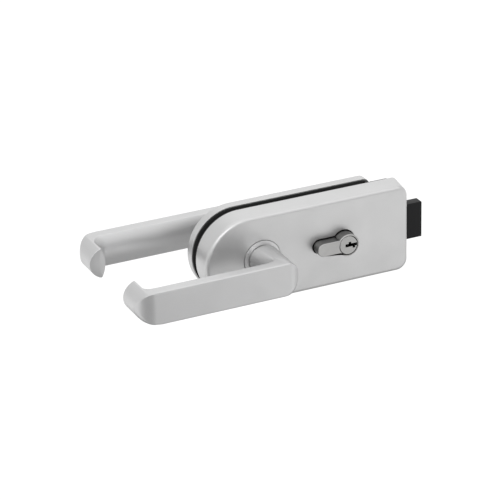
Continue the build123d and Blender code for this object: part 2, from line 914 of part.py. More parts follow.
def make_latch_bolt():
    """Rectangular bolt with a recess in its back for the slide's tongue."""
    nose_x = case_right_reach + bolt_projection
    body = block(
        slide_right_x,
        nose_x,
        bolt_front_y,
        slide_back_y,
        -bolt_half_height,
        bolt_half_height,
    )
    body = fillet(body.faces().sort_by(Axis.X)[-1].edges(), bolt_nose_round)
    body -= block(
        slide_right_x - overrun,
        slide_right_x + tongue_length,
        slide_front_y - tongue_fit,
        slide_back_y + overrun,
        -tongue_half_height,
        tongue_half_height,
    )
    for side in (-1, 1):
        z = side * rivet_spacing / 2
        body -= rod(rivet_x, z, rivet_radius + thread_fit, bolt_front_y - overrun, slide_back_y)
        body -= rod(
            rivet_x,
            z,
            rivet_head_radius + thread_fit,
            bolt_front_y - overrun,
            bolt_front_y + rivet_head_height,
        )
    return body


def make_bolt_rivets():
    """Two rivets that join the bolt to the slide's tongue."""
    rivets = []
    for side in (-1, 1):
        z = side * rivet_spacing / 2
        shank = rod(rivet_x, z, rivet_radius, bolt_front_y, slide_back_y)
        head = rod(rivet_x, z, rivet_head_radius, bolt_front_y, bolt_front_y + rivet_head_height)
        rivets.append(shank + head)
    return Compound(rivets)


def make_bolt_guide():
    """Mouthpiece inside the case's right end, over and beside the bolt."""
    inner_half = bolt_half_height + guide_fit
    outer_half = inner_half + guide_cheek_height
    front_y = bolt_front_y - guide_fit - guide_bridge_thickness
    body = block(guide_left_x, guide_right_x, front_y, front_plate_y, -outer_half, outer_half)
    body -= block(
        guide_left_x - overrun,
        guide_right_x + overrun,
        bolt_front_y - guide_fit,
        front_plate_y + overrun,
        -inner_half,
        inner_half,
    )
    middle_x = (guide_left_x + guide_right_x) / 2
    for side in (-1, 1):
        z = side * guide_screw_level
        body -= rod(
            middle_x,
            z,
            guide_screw_radius + screw_hole_fit,
            front_y - overrun,
            front_plate_y + overrun,
        )
    return body


def make_guide_screws():
    """Two screws that hold the mouthpiece on the base plate."""
    head_y = bolt_front_y - guide_fit - guide_bridge_thickness
    length = front_rim_y - head_y
    middle_x = (guide_left_x + guide_right_x) / 2
    screw = cap_screw(guide_screw_radius, length, guide_head_radius, guide_head_height)
    screws = []
    for side in (-1, 1):
        screws.append(Pos(middle_x, head_y, side * guide_screw_level) * Rot(90, 0, 0) * screw)
    return Compound(screws)


def make_latch_spring():
    """Compression spring between the fixed post and the slide's tab."""
    low_x = spring_post_reach + spring_post_width + latch_spring_end_gap + latch_spring_wire
    high_x = spring_tab_reach - latch_spring_end_gap - latch_spring_wire
    pitch = (high_x - low_x) / latch_spring_turns
    path = coil_path(latch_spring_radius, pitch, 4 * latch_spring_turns)
    coil = wire_along(path, latch_spring_wire)
    return Pos(low_x, spring_axis_y(), -latch_spring_level) * Rot(0, 90, 0) * coil


def pin_level(index):
    """Level along Y of one pin of the cylinder."""
    return cylinder_front_y + first_pin_depth + index * pin_pitch


def make_cylinder_body():
    """Housing of the profile half cylinder, with its cam gap, plug bore and pin bores."""
    body = slab(pear_outline(), cylinder_front_y, cylinder_back_y)
    body -= rod(cylinder_reach, 0, cam_cutout_radius, -cam_gap_half, cam_gap_half)
    body -= rod(cylinder_reach, 0, plug_radius + plug_fit, cylinder_front_y - overrun, 0)
    body -= rod(
        cylinder_reach,
        0,
        plug_lip_radius + plug_fit,
        cylinder_front_y - overrun,
        cylinder_front_y + plug_lip_height,
    )
    bore_length = web_length + overrun
    for index in range(pin_count):
        bore = Pos(cylinder_reach - bore_length / 2, pin_level(index), 0) * Rot(0, 90, 0)
        body -= bore * Cylinder(pin_radius + pin_fit, bore_length)
    screw_depth = web_half_width + cylinder_screw_radius
    body -= Pos(web_screw_x, 0, -web_half_width + screw_depth / 2) * Cylinder(
        cylinder_screw_radius + thread_fit,
        screw_depth,
    )
    return body


def keyway_outline():
    """Warded keyway, open at the plug's side away from the pins."""
    half = keyway_thickness / 2
    slot = rectangle_between(-keyway_start, plug_lip_radius + overrun, -half, half)
    high_ward = rectangle_between(0, keyway_ward_width, half, half + keyway_ward_depth)
    low_left = keyway_ward_width + half
    low_right = low_left + keyway_ward_width
    low_ward = rectangle_between(low_left, low_right, -half - keyway_ward_depth, -half)
    return slot + high_ward + low_ward


def make_cylinder_plug():
    """Turning plug with its keyway, key pin holes and tail."""
    body = rod(0, 0, plug_radius, cylinder_front_y, -cam_gap_half)
    body += rod(0, 0, plug_lip_radius, cylinder_front_y, cylinder_front_y + plug_lip_height)
    body += rod(0, 0, plug_tail_radius, -cam_gap_half, cam_half_width)
    groove = Circle(plug_tail_radius + overrun) - Circle(clip_bore_radius())
    body -= slab(groove, -cam_gap_half, clip_back_y() + thread_fit)
    body -= slab(keyway_outline(), cylinder_front_y - overrun, cylinder_front_y + keyway_length)
    for index in range(pin_count):
        bore = Pos(-(plug_radius + keyway_start) / 2, pin_level(index), 0) * Rot(0, 90, 0)
        body -= bore * Cylinder(pin_radius + pin_fit, plug_radius)
    return Pos(cylinder_reach, 0, 0) * body


def make_cylinder_cam():
    """Ring on the plug's tail with the nose that works the slide and a recess for the circlip."""
    nose = rectangle_between(-cam_reach, 0, -cam_nose_width / 2, cam_nose_width / 2)
    nose &= Circle(cam_reach)
    outline = Circle(cam_hub_radius) + nose - Circle(plug_tail_radius + thread_fit)
    body = slab(outline, -cam_half_width, cam_half_width)
    recess_radius = clip_bore_radius() + clip_ring_width + thread_fit
    body -= rod(0, 0, recess_radius, -cam_half_width - overrun, clip_back_y() + thread_fit)
    return Pos(cylinder_reach, 0, 0) * body


def clip_bore_radius():
    """Inner radius of the circlip, which is the floor of its groove."""
    return plug_tail_radius - clip_groove_depth


def clip_back_y():
    """Level along Y of the circlip's back face."""
    return -cam_gap_half + thread_fit + clip_width


def make_cylinder_clip():
    """Open spring ring in the groove of the plug's tail, which keeps the plug in its housing."""
    bore = clip_bore_radius() + thread_fit
    outline = Circle(bore + clip_ring_width - thread_fit) - Circle(bore)
    mouth_right = bore + clip_ring_width + overrun
    outline -= rectangle_between(0, mouth_right, -clip_mouth / 2, clip_mouth / 2)
    clip = slab(outline, clip_back_y() - clip_width, clip_back_y())
    return Pos(cylinder_reach, 0, 0) * clip


def make_key_pins():
    """Key pins in the plug, their outer ends just inside its surface."""
    outer = math.sqrt(plug_radius**2 - pin_radius**2) - pin_fit
    length = outer - keyway_start
    pins = []
    for index in range(pin_count):
        x = cylinder_reach - keyway_start - length / 2
        pins.append(Pos(x, pin_level(index), 0) * Rot(0, 90, 0) * Cylinder(pin_radius, length))
    return Compound(pins)


def web_pins(inner_reach, length, radius):
    """A row of round pieces in the web, from a distance inside the plug's axis outwards."""
    pieces = []
    x = cylinder_reach - inner_reach - length / 2
    for index in range(pin_count):
        pieces.append(Pos(x, pin_level(index), 0) * Rot(0, 90, 0) * Cylinder(radius, length))
    return Compound(pieces)


def driver_start():
    """Distance from the plug's axis to the near end of the driver pins."""
    return plug_radius + plug_fit + pin_fit


def cap_start():
    """Distance from the plug's axis to the near end of the caps."""
    return web_length - pin_cap_length - pin_cap_sink


def make_driver_pins():
    """Driver pins in the web, resting just off the plug."""
    return web_pins(driver_start(), driver_pin_length, pin_radius)


def make_pin_springs():
    """Small springs behind the driver pins, each as a plain rod of its outer size."""
    start = driver_start() + driver_pin_length
    return web_pins(start, cap_start() - start, pin_radius - pin_fit)


def make_pin_caps():
    """Caps that close the pin bores."""
    return web_pins(cap_start(), pin_cap_length, pin_radius)


def make_cylinder_screw():
    """Fixing screw of the cylinder, from the tab into the web."""
    head_z = -cylinder_lug_level - cylinder_lug_thickness
    screw = cap_screw(
        cylinder_screw_radius,
        cylinder_screw_length,
        cylinder_head_radius,
        cylinder_head_height,
    )
    return Pos(web_screw_x, 0, head_z) * Rot(180, 0, 0) * screw


def make_clamp_screws():
    """Screws that clamp the two units together."""
    length = rear_plate_y + clamp_boss_height - front_plate_y
    screw = cap_screw(clamp_screw_radius, length, clamp_head_radius, clamp_head_height)
    screw = Rot(90, 0, 0) * screw
    return Compound([Pos(x, front_plate_y, z) * screw for x, z in clamp_places])


def make_glass_sleeves():
    """Plastic sleeves round the clamp screws, between the two plates."""
    sleeves = []
    for x, z in clamp_places:
        ring = Circle(sleeve_radius) - Circle(clamp_screw_radius + sleeve_fit)
        sleeves.append(slab(Pos(x, z) * ring, front_rim_y, rear_rim_y))
    return Compound(sleeves)


def make_cover_screws(y):
    """Two countersunk screws in a shell's lower edge."""
    screw = countersunk_screw(
        cover_screw_radius,
        cover_screw_length,
        cover_head_radius,
        cover_head_height,
    )
    screw = Rot(180, 0, 0) * screw
    return Compound([Pos(x, y, -case_half_height) * screw for x in cover_screw_places])


def to_front(piece):
    """A piece made for a shell face at zero, on the front shell."""
    return Pos(0, front_face_y, 0) * piece


def to_rear(piece):
    """A piece made for a shell face at zero, mirrored onto the rear shell."""
    return Pos(0, rear_face_y, 0) * mirror(piece, about=Plane.XZ)


def make_parts():
    """Every node of the lockset by its name."""
    lever = make_lever()
    lever_screw = make_lever_screw()
    return {
        "front_cover": make_front_cover(),
        "rear_cover": make_rear_cover(),
        "front_base_plate": make_front_base_plate(),
        "rear_clamp_plate": make_rear_clamp_plate(),
        "front_gasket": make_gasket(case_right_reach, front_rim_y, front_gasket_back_y),
        "rear_gasket": make_gasket(rear_right_reach, rear_gasket_front_y, rear_rim_y),
        "front_rose_ring": to_front(make_collar()),
        "rear_rose_ring": to_rear(make_collar()),
        "front_lever": to_front(lever),
        "rear_lever": to_rear(lever),
        "front_lever_screw": to_front(lever_screw),
        "rear_lever_screw": to_rear(lever_screw),
        "spindle": make_spindle(),
        "follower": make_follower(),
        "follower_bush": make_follower_bush(),
        "rear_bush": make_rear_bush(),
        "follower_spring": make_follower_spring(),
        "latch_slide": make_latch_slide(),
        "latch_bolt": make_latch_bolt(),
        "bolt_rivets": make_bolt_rivets(),
        "bolt_guide": make_bolt_guide(),
        "guide_screws": make_guide_screws(),
        "latch_spring": make_latch_spring(),
        "cylinder_body": make_cylinder_body(),
        "cylinder_plug": make_cylinder_plug(),
        "cylinder_cam": make_cylinder_cam(),
        "cylinder_clip": make_cylinder_clip(),
        "key_pins": make_key_pins(),
        "driver_pins": make_driver_pins(),
        "pin_springs": make_pin_springs(),
        "pin_caps": make_pin_caps(),
        "cylinder_screw": make_cylinder_screw(),
        "clamp_screws": make_clamp_screws(),
        "glass_sleeves": make_glass_sleeves(),
        "front_cover_screws": make_cover_screws(cover_screw_level),
        "rear_cover_screws": make_cover_screws(rear_screw_level()),
    }


os.makedirs("parts", exist_ok=True)
for node, shape in make_parts().items():
    export_step(shape, f"parts/{node}.step")
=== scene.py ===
import json
import math

import bmesh
import bpy
import numpy as np
from bpy.props import FloatProperty, FloatVectorProperty, PointerProperty
from bpy.types import Operator, Panel, PropertyGroup
from mathutils import Matrix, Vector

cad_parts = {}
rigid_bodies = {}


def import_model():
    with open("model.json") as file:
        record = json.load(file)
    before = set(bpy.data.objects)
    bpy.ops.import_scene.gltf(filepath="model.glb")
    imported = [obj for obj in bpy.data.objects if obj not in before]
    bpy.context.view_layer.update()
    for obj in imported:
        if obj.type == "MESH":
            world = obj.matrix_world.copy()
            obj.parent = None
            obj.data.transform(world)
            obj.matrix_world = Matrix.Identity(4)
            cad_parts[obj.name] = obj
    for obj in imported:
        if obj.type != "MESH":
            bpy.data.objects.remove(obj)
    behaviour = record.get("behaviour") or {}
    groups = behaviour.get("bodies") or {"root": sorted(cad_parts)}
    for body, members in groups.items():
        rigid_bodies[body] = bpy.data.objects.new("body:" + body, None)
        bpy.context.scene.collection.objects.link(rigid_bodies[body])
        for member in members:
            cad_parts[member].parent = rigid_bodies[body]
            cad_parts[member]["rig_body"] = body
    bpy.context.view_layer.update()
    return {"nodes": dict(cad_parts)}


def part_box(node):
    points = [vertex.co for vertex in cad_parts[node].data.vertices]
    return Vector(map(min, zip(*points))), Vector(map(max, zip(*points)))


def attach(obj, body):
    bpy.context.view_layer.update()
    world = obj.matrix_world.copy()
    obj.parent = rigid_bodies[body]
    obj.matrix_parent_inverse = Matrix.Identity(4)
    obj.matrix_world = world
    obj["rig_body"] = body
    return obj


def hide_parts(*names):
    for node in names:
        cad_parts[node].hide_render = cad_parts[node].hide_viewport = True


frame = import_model()

bl_info = {
    "name": "Glass door lever lockset",
    "version": (1, 0, 0),
    "blender": (4, 5, 0),
    "location": "3D View > Sidebar > Lockset",
    "description": "Builds the shells, levers, lock cylinder and bolt of a clamp-on lockset",
    "category": "Mesh",
}

FRONT_LOW, FRONT_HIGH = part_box("front_cover")
REAR_LOW, REAR_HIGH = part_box("rear_cover")
BODY_LOW, BODY_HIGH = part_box("cylinder_body")
BOLT_LOW, BOLT_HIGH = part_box("latch_bolt")
PLUG_LOW, PLUG_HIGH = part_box("cylinder_plug")

# Points closer than this are one, and a quarter of a turn
WELD_DISTANCE, QUARTER = 2e-6, math.pi / 2
# How closely the CAD and a setting have to agree, and the least gap between an opening in a
# wall and the rounded edge
AGREEMENT, LEAST_GAP = 1e-4, 1e-5
# Half the opening in the walls round a cover screw, in radii of its countersink: along X,
# and across the shallow rear wall
WINDOW_ALONG, WINDOW_ACROSS = 1.5, 1.2
# Parts of the neck's two circles that its outer and inner sides take, up and down
ELBOW_SPAN, GRIP_SPAN = math.radians(65), math.radians(73)
# Levels along Y of the housing's rows between its front edge and the cam
HOUSING_ROWS = (-0.022, -0.012)
# Place along X of the bolt's row between its root and its nose, and its least corner radius
BOLT_ROW, SMALLEST_ROUND = 0.110, 0.00004
# Height of the grain's relief, and the least roughness of a finish
RELIEF_HEIGHT, LEAST_ROUGHNESS = 0.00002, 0.02
# Half the floor's side, and how far the cards lie above it
FLOOR_HALF, CARD_LIFT = 6.0, 0.01


def length(name, default, description):
    """A length setting in metres."""
    return FloatProperty(
        name=name, description=description, default=default, min=0.0, unit="LENGTH", precision=4
    )


def fraction(name, default, description):
    """A setting between nought and one."""
    return FloatProperty(
        name=name, description=description, default=default, min=0.0, max=1.0, subtype="FACTOR"
    )


def paint(name, default, description):
    """A colour setting."""
    return FloatVectorProperty(
        name=name, description=description, default=default, min=0.0, max=1.0, size=3, subtype="COLOR"
    )


class ShellSizes(PropertyGroup):
    """Sizes of the two metal shells."""

    rim_corner: length("Front rim corner", 0.0045, "Radius of the front shell's corners at its rim")
    face_corner: length("Front face corner", 0.0086, "Radius of the front shell's corners at its face")
    rear_corner: length("Rear corner radius", 0.0055, "Radius of the rear shell's two corners")
    front_round: length("Front edge round", 0.003, "Round between the front shell's face and walls")
    front_wall: length("Front wall", 0.0018, "Thickness of the front shell")
    rear_round: length("Rear edge round", 0.0026, "Round between the rear shell's face and walls")
    rear_wall: length("Rear wall", 0.0016, "Thickness of the rear shell")
    collar_hole: length("Collar hole", 0.0144, "Radius of the hole for the lever's collar")
    profile_fit: length("Cylinder clearance", 0.0005, "Gap round the lock cylinder in the face")
    screw_reach_left: length("First cover screw", 0.006, "Place along X of the first cover screw")
    screw_reach_right: length("Second cover screw", 0.0775, "Place along X of the second cover screw")
    screw_hole: length("Cover screw hole", 0.0018, "Radius of a cover screw's hole")
    screw_sink: length("Cover screw sink", 0.0028, "Radius of a cover screw's countersink")
    screw_sink_depth: length("Sink depth", 0.0015, "Depth of a cover screw's countersink")
    mouth_break: length("Mouth edge", 0.00025, "Small round on the edges of holes and rims")
    front_screw_level: length("Front screw depth", 0.01345, "Front cover screws' distance from the middle")
    rear_screw_level: length("Rear screw depth", 0.0079, "Rear cover screws' distance from the middle")


class LeverSizes(PropertyGroup):
    """Sizes of both levers, measured outwards from the shell's face."""

    reach: length("Reach", 0.041, "Distance of the grip's flat face from the shell")
    height: length("Height", 0.025, "Height of the grip")
    flat_depth: length("Flat depth", 0.0082, "Depth of the grip's flat sides")
    bulge: length("Bulge", 0.004, "How far the grip's inner side swells towards the shell")
    edge_round: length("Edge round", 0.0011, "Round along the face's long edges")
    elbow_bow: length("Elbow bow", 0.0088, "How far the elbow's end of the grip bows outwards")
    elbow_blend: length("Elbow blend", 0.004, "Radius that joins that bow to the flat sides")
    return_axis: length("Return place", 0.0991, "Distance from the spindle where the round end starts")
    return_bow: length("Return bow", 0.0145, "Length of the half ellipse that rounds the free end")
    return_depth: length("Return depth", 0.028, "How far the return comes back towards the door")
    return_inner: length("Return inner side", 0.1014, "Distance of that side from the spindle")
    return_inner_bow: length("Return inner bow", 0.0029, "Bow of the return's inner side")
    return_tip: length("Return tips", 0.0112, "Distance of the return's two tips from its middle")
    return_lip: length("Return lip", 0.0004, "Round of the return's end")
    elbow_axis: length("Elbow place", 0.0022, "Distance of the elbow's outer corners from the spindle")
    elbow_inner: length("Elbow inner side", 0.0046, "Distance of its inner corners from the spindle")
    elbow_inner_sagitta: length("Elbow inner bow", 0.0024, "Bow of the neck's inner side at the grip")
    return_round: length("Return plan round", 0.014, "Round of the return's outer corner seen from above")
    return_margin: length("Return margin", 0.0009, "How far that round starts outside the return")
    elbow_round: length("Elbow plan round", 0.009, "Round of the elbow's outer corner seen from above")
    elbow_margin: length("Elbow margin", 0.0008, "How far that round starts outside the elbow")
    face_run: length("Face run", 0.005, "How far the rounds' rows run on along the flat face")
    crease_round: length("Crease round", 0.0004, "Round of the crease at the top of a bowed end")
    crease_spread: length("Crease spread", 0.0042, "How much softer the crease gets towards the bottom")
    inner_round: length("Inner corner", 0.008, "Round of the corner between the grip and the return")
    elbow_run: length("Elbow run", 0.0104, "Length along the grip of its curve into the neck")
    elbow_fall: length("Elbow fall", 0.0073, "Length along the neck of that curve")
    inner_edge_round: length("Inner edge round", 0.0004, "Round along the grip's inner edges")
    foot_radius: length("Foot radius", 0.01068, "Radius of the neck's foot in the collar")
    foot_level: length("Foot level", 0.0007, "Distance from the shell where the neck starts to swell")
    shoulder_level: length("Shoulder level", 0.0040, "Distance from the shell of the swollen section")
    shoulder_front: length("Shoulder front radius", 0.01295, "Radius of that section on the elbow's side")
    shoulder_reach: length("Shoulder reach", 0.0120, "Distance of that side from the spindle")
    shoulder_back: length("Shoulder back radius", 0.0117, "Radius of that section on the grip's side")
    shoulder_back_reach: length("Shoulder back reach", 0.0105, "Distance of that side from the spindle")
    neck_level: length("Neck level", 0.0165, "Distance from the shell where the neck's rows get level")
    neck_sink: length("Neck sink", 0.0016, "How far the neck runs into its collar")
    grub_hole: length("Grub screw hole", 0.00255, "Radius of the hole below the neck")
    grub_edge: length("Grub hole edge", 0.0002, "Small chamfer of that hole's mouth")
    grub_window: length("Grub window", 0.0033, "Half the height of the opening round that hole")
    grub_depth: length("Grub screw place", 0.009, "Distance of the grub screw from the shell")
    grub_floor: length("Grub hole floor", 0.0039, "Distance of the hole's floor from the spindle's axis")


class CollarSizes(PropertyGroup):
    """Sizes of the collars round the levers' necks."""

    bore: length("Bore", 0.0108, "Inner radius of a collar")
    outer: length("Outer radius", 0.01422, "Radius of the part that stands in the shell's hole")
    flange: length("Flange radius", 0.017, "Radius of the flange behind the shell")
    flange_thickness: length("Flange thickness", 0.0014, "Thickness of the flange")
    proud: length("Proud", 0.0005, "How far the collar stands out of the shell")
    chamfer: length("Chamfer", 0.0005, "Chamfer of the collar's visible edge")


class LockSizes(PropertyGroup):
    """Sizes of the profile cylinder and the bolt."""

    radius: length("Cylinder radius", 0.0085, "Radius of the profile's round part")
    web_half: length("Half web", 0.005, "Half the width of the profile's web")
    reach: length("Cylinder place", 0.065, "Distance of the plug's axis from the spindle")
    edge: length("Profile edge", 0.0003, "Chamfer of the profile's front edge")
    plug_bore: length("Plug bore", 0.00698, "Radius of the bore for the plug")
    lip_bore: length("Lip bore", 0.00738, "Radius of the recess for the plug's lip")
    lip_depth: length("Lip depth", 0.0005, "Depth of the recess for the plug's lip")
    lip_break: length("Recess edge", 0.0001, "Small chamfer of that recess")
    cam_gap: length("Cam gap", 0.00515, "Half the width of the gap for the cam")
    cam_sweep: length("Cam sweep", 0.0162, "Radius of the gap for the cam")
    plug_radius: length("Plug radius", 0.0069, "Radius of the turning plug")
    lip_radius: length("Lip radius", 0.00698, "Radius of the plug's front lip")
    lip_edge: length("Lip edge", 0.00025, "Small chamfer of the lip and the keyway's mouth")
    tail_radius: length("Tail radius", 0.005, "Radius of the plug's tail")
    key_start: length("Keyway start", 0.0026, "How far the keyway passes the plug's axis")
    key_half: length("Half keyway", 0.00115, "Half the keyway's thickness")
    ward_width: length("Ward width", 0.002, "Width of the keyway's wards")
    ward_depth: length("Ward depth", 0.0014, "Depth of the keyway's wards")
    key_depth: length("Keyway depth", 0.024, "Length of the keyway into the plug")
    bolt_nose: length("Bolt nose round", 0.0006, "Round of the bolt's nose")
    bolt_edge: length("Bolt edge round", 0.0005, "Round of the bolt's long edges")
    bolt_gap: length("Bolt window gap", 0.0004, "Gap round the bolt in the shell's end")


class FinishColours(PropertyGroup):
    """Colours and gloss of the finishes."""

    satin: paint("Satin metal", (0.60, 0.60, 0.60), "Colour of the satin shells")
    lever: paint("Lever metal", (0.595, 0.595, 0.597), "Colour of the levers")
    nickel: paint("Nickel", (0.38, 0.378, 0.373), "Colour of the lock cylinder")
    zinc: paint("Zinc plate", (0.55, 0.56, 0.57), "Colour of plated steel")
    dark_steel: paint("Dark steel", (0.16, 0.16, 0.165), "Colour of blackened screws")
    spring: paint("Spring steel", (0.50, 0.50, 0.51), "Colour of the springs")
    brass: paint("Brass", (0.70, 0.50, 0.22), "Colour of the pins")
    black: paint("Black plastic", (0.009, 0.009, 0.0095), "Colour of the bolt")
    rubber: paint("Black rubber", (0.018, 0.018, 0.018), "Colour of the gaskets")
    white: paint("White plastic", (0.72, 0.72, 0.70), "Colour of the sleeves in the pane's holes")
    satin_roughness: fraction("Satin roughness", 0.40, "Roughness of the shells and levers")


class StageSettings(PropertyGroup):
    """Camera, floor and light."""

    azimuth: FloatProperty(
        name="Azimuth", description="Angle of the view to the right of the front",
        default=math.radians(-24.9158), subtype="ANGLE",
    )
    elevation: FloatProperty(
        name="Elevation", description="Angle of the view above the object",
        default=math.radians(24.4641), subtype="ANGLE",
    )
    roll: FloatProperty(
        name="Roll", description="Tilt of the camera about its own axis",
        default=math.radians(-1.3412), subtype="ANGLE",
    )
    distance: length("Distance", 1.9335, "Distance of the camera from the spindle")
    focal_length: FloatProperty(
        name="Focal length", description="Focal length on a sensor 36 mm wide",
        default=193.4, min=1.0, unit="CAMERA",
    )
    aim_right: FloatProperty(
        name="Aim to the right", description="Sideways place of the spindle in the view",
        default=-0.000464, unit="LENGTH", precision=5,
    )
    aim_down: FloatProperty(
        name="Aim down", description="Downward place of the spindle in the view",
        default=-0.001588, unit="LENGTH", precision=5,
    )
    floor_drop: length("Floor drop", 0.25, "Distance of the floor below the object")
    world_light: FloatProperty(
        name="Surrounding light", description="Strength of the even light from all sides",
        default=0.90, min=0.0,
    )


SETTINGS = {
    "lockset_shell": ShellSizes,
    "lockset_lever": LeverSizes,
    "lockset_collar": CollarSizes,
    "lockset_lock": LockSizes,
    "lockset_finish": FinishColours,
    "lockset_stage": StageSettings,
}


# Grids and meshes


def pair(x, z):
    """Points of a flat view from their two coordinates."""
    return np.stack(np.broadcast_arrays(x, z), axis=-1)


def arc(centre, radius, angle):
    """Points of a flat view on a circle: its centre, and the radius at each angle."""
    return np.asarray(centre) + radius * pair(np.cos(angle), np.sin(angle))


def in_space(flat, y):
    """Points of the front view, X and Z, put at a level along Y."""
    return np.stack([flat[..., 0], np.broadcast_to(y, flat.shape[:-1]), flat[..., 1]], axis=-1)


def nearest(values, value):
    """Index of the value that lies nearest."""
    return int(np.argmin(np.abs(values - value)))


def nearest_point(points, x, z):
    """Index of the outline's point that lies nearest to a place."""
    return int(np.argmin(np.linalg.norm(points - np.array([x, z]), axis=1)))


def sheet(points, around=False, openings=()):
    """Quads between the neighbours of a grid of points, rows along the first index.

    around joins the last column to the first. openings are cell ranges left out:
    first row, last row, first column, last column.
    """
    rows, columns = points.shape[:2]
    index = np.arange(rows * columns).reshape(rows, columns)
    if around:
        index = np.hstack([index, index[:, :1]])
    corners = [index[:-1, :-1], index[1:, :-1], index[1:, 1:], index[:-1, 1:]]
    quads = np.stack(corners, axis=-1)
    keep = np.ones(quads.shape[:2], bool)
    for top, bottom, left, right in openings:
        keep[top:bottom, left:right] = False
    return points.reshape(-1, 3), quads[keep]


def opening_rim(points, opening):
    """The loop of grid points round an opening, in order."""
    top, bottom, left, right = opening
    return np.concatenate(
        [
            points[top, left:right],
            points[top:bottom, right],
            points[bottom, right:left:-1],
            points[bottom:top:-1, left],
        ]
    )


def bands(*loops):
    """A closed band through loops that have the same number of points."""
    return sheet(np.stack(loops), around=True)


def tube(curve, *levels):
    """A closed band that carries an outline of the front view along Y through the levels."""
    return bands(*(in_space(curve, y) for y in levels))


def pole(loop):
    """A flat cap: every point of a loop joined to the loop's middle."""
    return bands(loop, np.repeat(loop.mean(axis=0)[None], len(loop), axis=0))


def between(start, end, shares):
    """Rows of points from one row to another, at the given shares of the way."""
    t = np.reshape(shares, (-1, 1, 1))
    return start * (1 - t) + end * t


def curve_through(start, corner, end, shares):
    """Rows of a quadratic curve that leaves start towards corner and reaches end from it."""
    t = np.reshape(shares, (-1, 1, 1))
    return start * (1 - t) ** 2 + corner * 2 * t * (1 - t) + end * t**2


def stops(*ends_and_counts):
    """Levels from a list such as 0, 4, 10: each count divides the stretch between two levels."""
    levels = ends_and_counts[0::2]
    counts = ends_and_counts[1::2]
    parts = [
        np.linspace(levels[k], levels[k + 1], counts[k] + 1)[min(k, 1):]
        for k in range(len(counts))
    ]
    return np.concatenate(parts)


def in_scene(name, data):
    """A new object with its data, in the scene."""
    made = bpy.data.objects.new(name, data)
    bpy.context.scene.collection.objects.link(made)
    return made


def new_mesh(name, points, quads, look):
    """A mesh of quads with its material."""
    mesh = bpy.data.meshes.new(name)
    mesh.from_pydata(points.tolist(), [], quads.tolist())
    mesh.materials.append(look)
    return mesh


def make_piece(name, sheets, node, slot, look, sharp=28.0):
    """Welds sheets into one closed mesh, sets its finish and hangs it on the node's body.

    The piece replaces the node. Faces are turned outwards once the doubles are merged, and
    edges sharper than the given angle in degrees stay sharp.
    """
    starts = np.cumsum([0] + [len(points) for points, _ in sheets])
    points = np.concatenate([points for points, _ in sheets])
    quads = np.concatenate([quads + start for (_, quads), start in zip(sheets, starts)])
    mesh = new_mesh(name, points, quads, look)
    shape = bmesh.new()
    shape.from_mesh(mesh)
    bmesh.ops.remove_doubles(shape, verts=shape.verts, dist=WELD_DISTANCE)
    bmesh.ops.recalc_face_normals(shape, faces=shape.faces)
    loose = sum(1 for edge in shape.edges if len(edge.link_faces) != 2)
    shape.to_mesh(mesh)
    shape.free()
    if loose:
        raise RuntimeError(f"{name} has {loose} edges that don't join two faces")
    mesh.shade_smooth()
    mesh.set_sharp_from_angle(angle=math.radians(sharp))
    piece = in_scene(name, mesh)
    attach(piece, frame["nodes"][node]["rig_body"])
    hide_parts(node)


# Finishes


def add(tree, kind, inputs=None, **settings):
    """A node with its settings and input values."""
    made = tree.nodes.new(kind)
    for name, value in settings.items():
        setattr(made, name, value)
    for name, value in (inputs or {}).items():
        made.inputs[name].default_value = value
    return made


def link(tree, *links):
    """Joins nodes, each link given as a node and its output, and a node and its input."""
    for source, output, target, socket in links:
        tree.links.new(source.outputs[output], target.inputs[socket])


def material(name, values):
    """A new material with input values on its shader, and that shader."""
    made = bpy.data.materials.new(name)
    made.use_nodes = True
    shader = made.node_tree.nodes["Principled BSDF"]
    for socket, value in values.items():
        shader.inputs[socket].default_value = value
    return made, shader


def surface_grain(tree, given, result):
    """Fine surface grain: noise on object coordinates, stretched by a frequency along each axis."""
    place = add(tree, "ShaderNodeTexCoord")
    spread = add(tree, "ShaderNodeVectorMath", operation="MULTIPLY")
    noise = add(tree, "ShaderNodeTexNoise", {"Scale": 1.0, "Detail": 3.0, "Roughness": 0.6})
    link(
        tree, (place, "Object", spread, 0), (given, "Frequency", spread, 1),
        (spread, 0, noise, "Vector"), (noise, "Fac", result, "Height"),
    )


def handling_marks(tree, given, result):
    """Broad uneven patches left by handling: slow noise between two values."""
    place = add(tree, "ShaderNodeTexCoord")
    slow = add(tree, "ShaderNodeTexNoise", {"Detail": 4.0, "Roughness": 0.55, "Distortion": 0.4})
    spread = add(tree, "ShaderNodeMapRange", {"From Min": 0.3, "From Max": 0.7})
    link(
        tree, (place, "Object", slow, "Vector"), (slow, "Fac", spread, "Value"),
        (given, "Low", spread, "To Min"), (given, "High", spread, "To Max"),
        (given, "Size", slow, "Scale"), (spread, "Result", result, "Value"),
    )


def edge_wear(tree, given, result):
    """Worn edges: a mask where the surface bends outwards, broken up by noise."""
    bend = add(tree, "ShaderNodeNewGeometry")
    spread = add(tree, "ShaderNodeMapRange")
    place = add(tree, "ShaderNodeTexCoord")
    noise = add(tree, "ShaderNodeTexNoise", {"Scale": 260.0, "Detail": 5.0})
    broken = add(tree, "ShaderNodeMath", operation="MULTIPLY")
    amount = add(tree, "ShaderNodeMath", operation="MULTIPLY")
    link(
        tree, (bend, "Pointiness", spread, "Value"), (place, "Object", noise, "Vector"),
        (spread, "Result", broken, 0), (noise, "Fac", broken, 1), (broken, 0, amount, 0),
        (given, "Start", spread, "From Min"), (given, "End", spread, "From Max"),
        (given, "Amount", amount, 1), (amount, 0, result, "Mask"),
    )


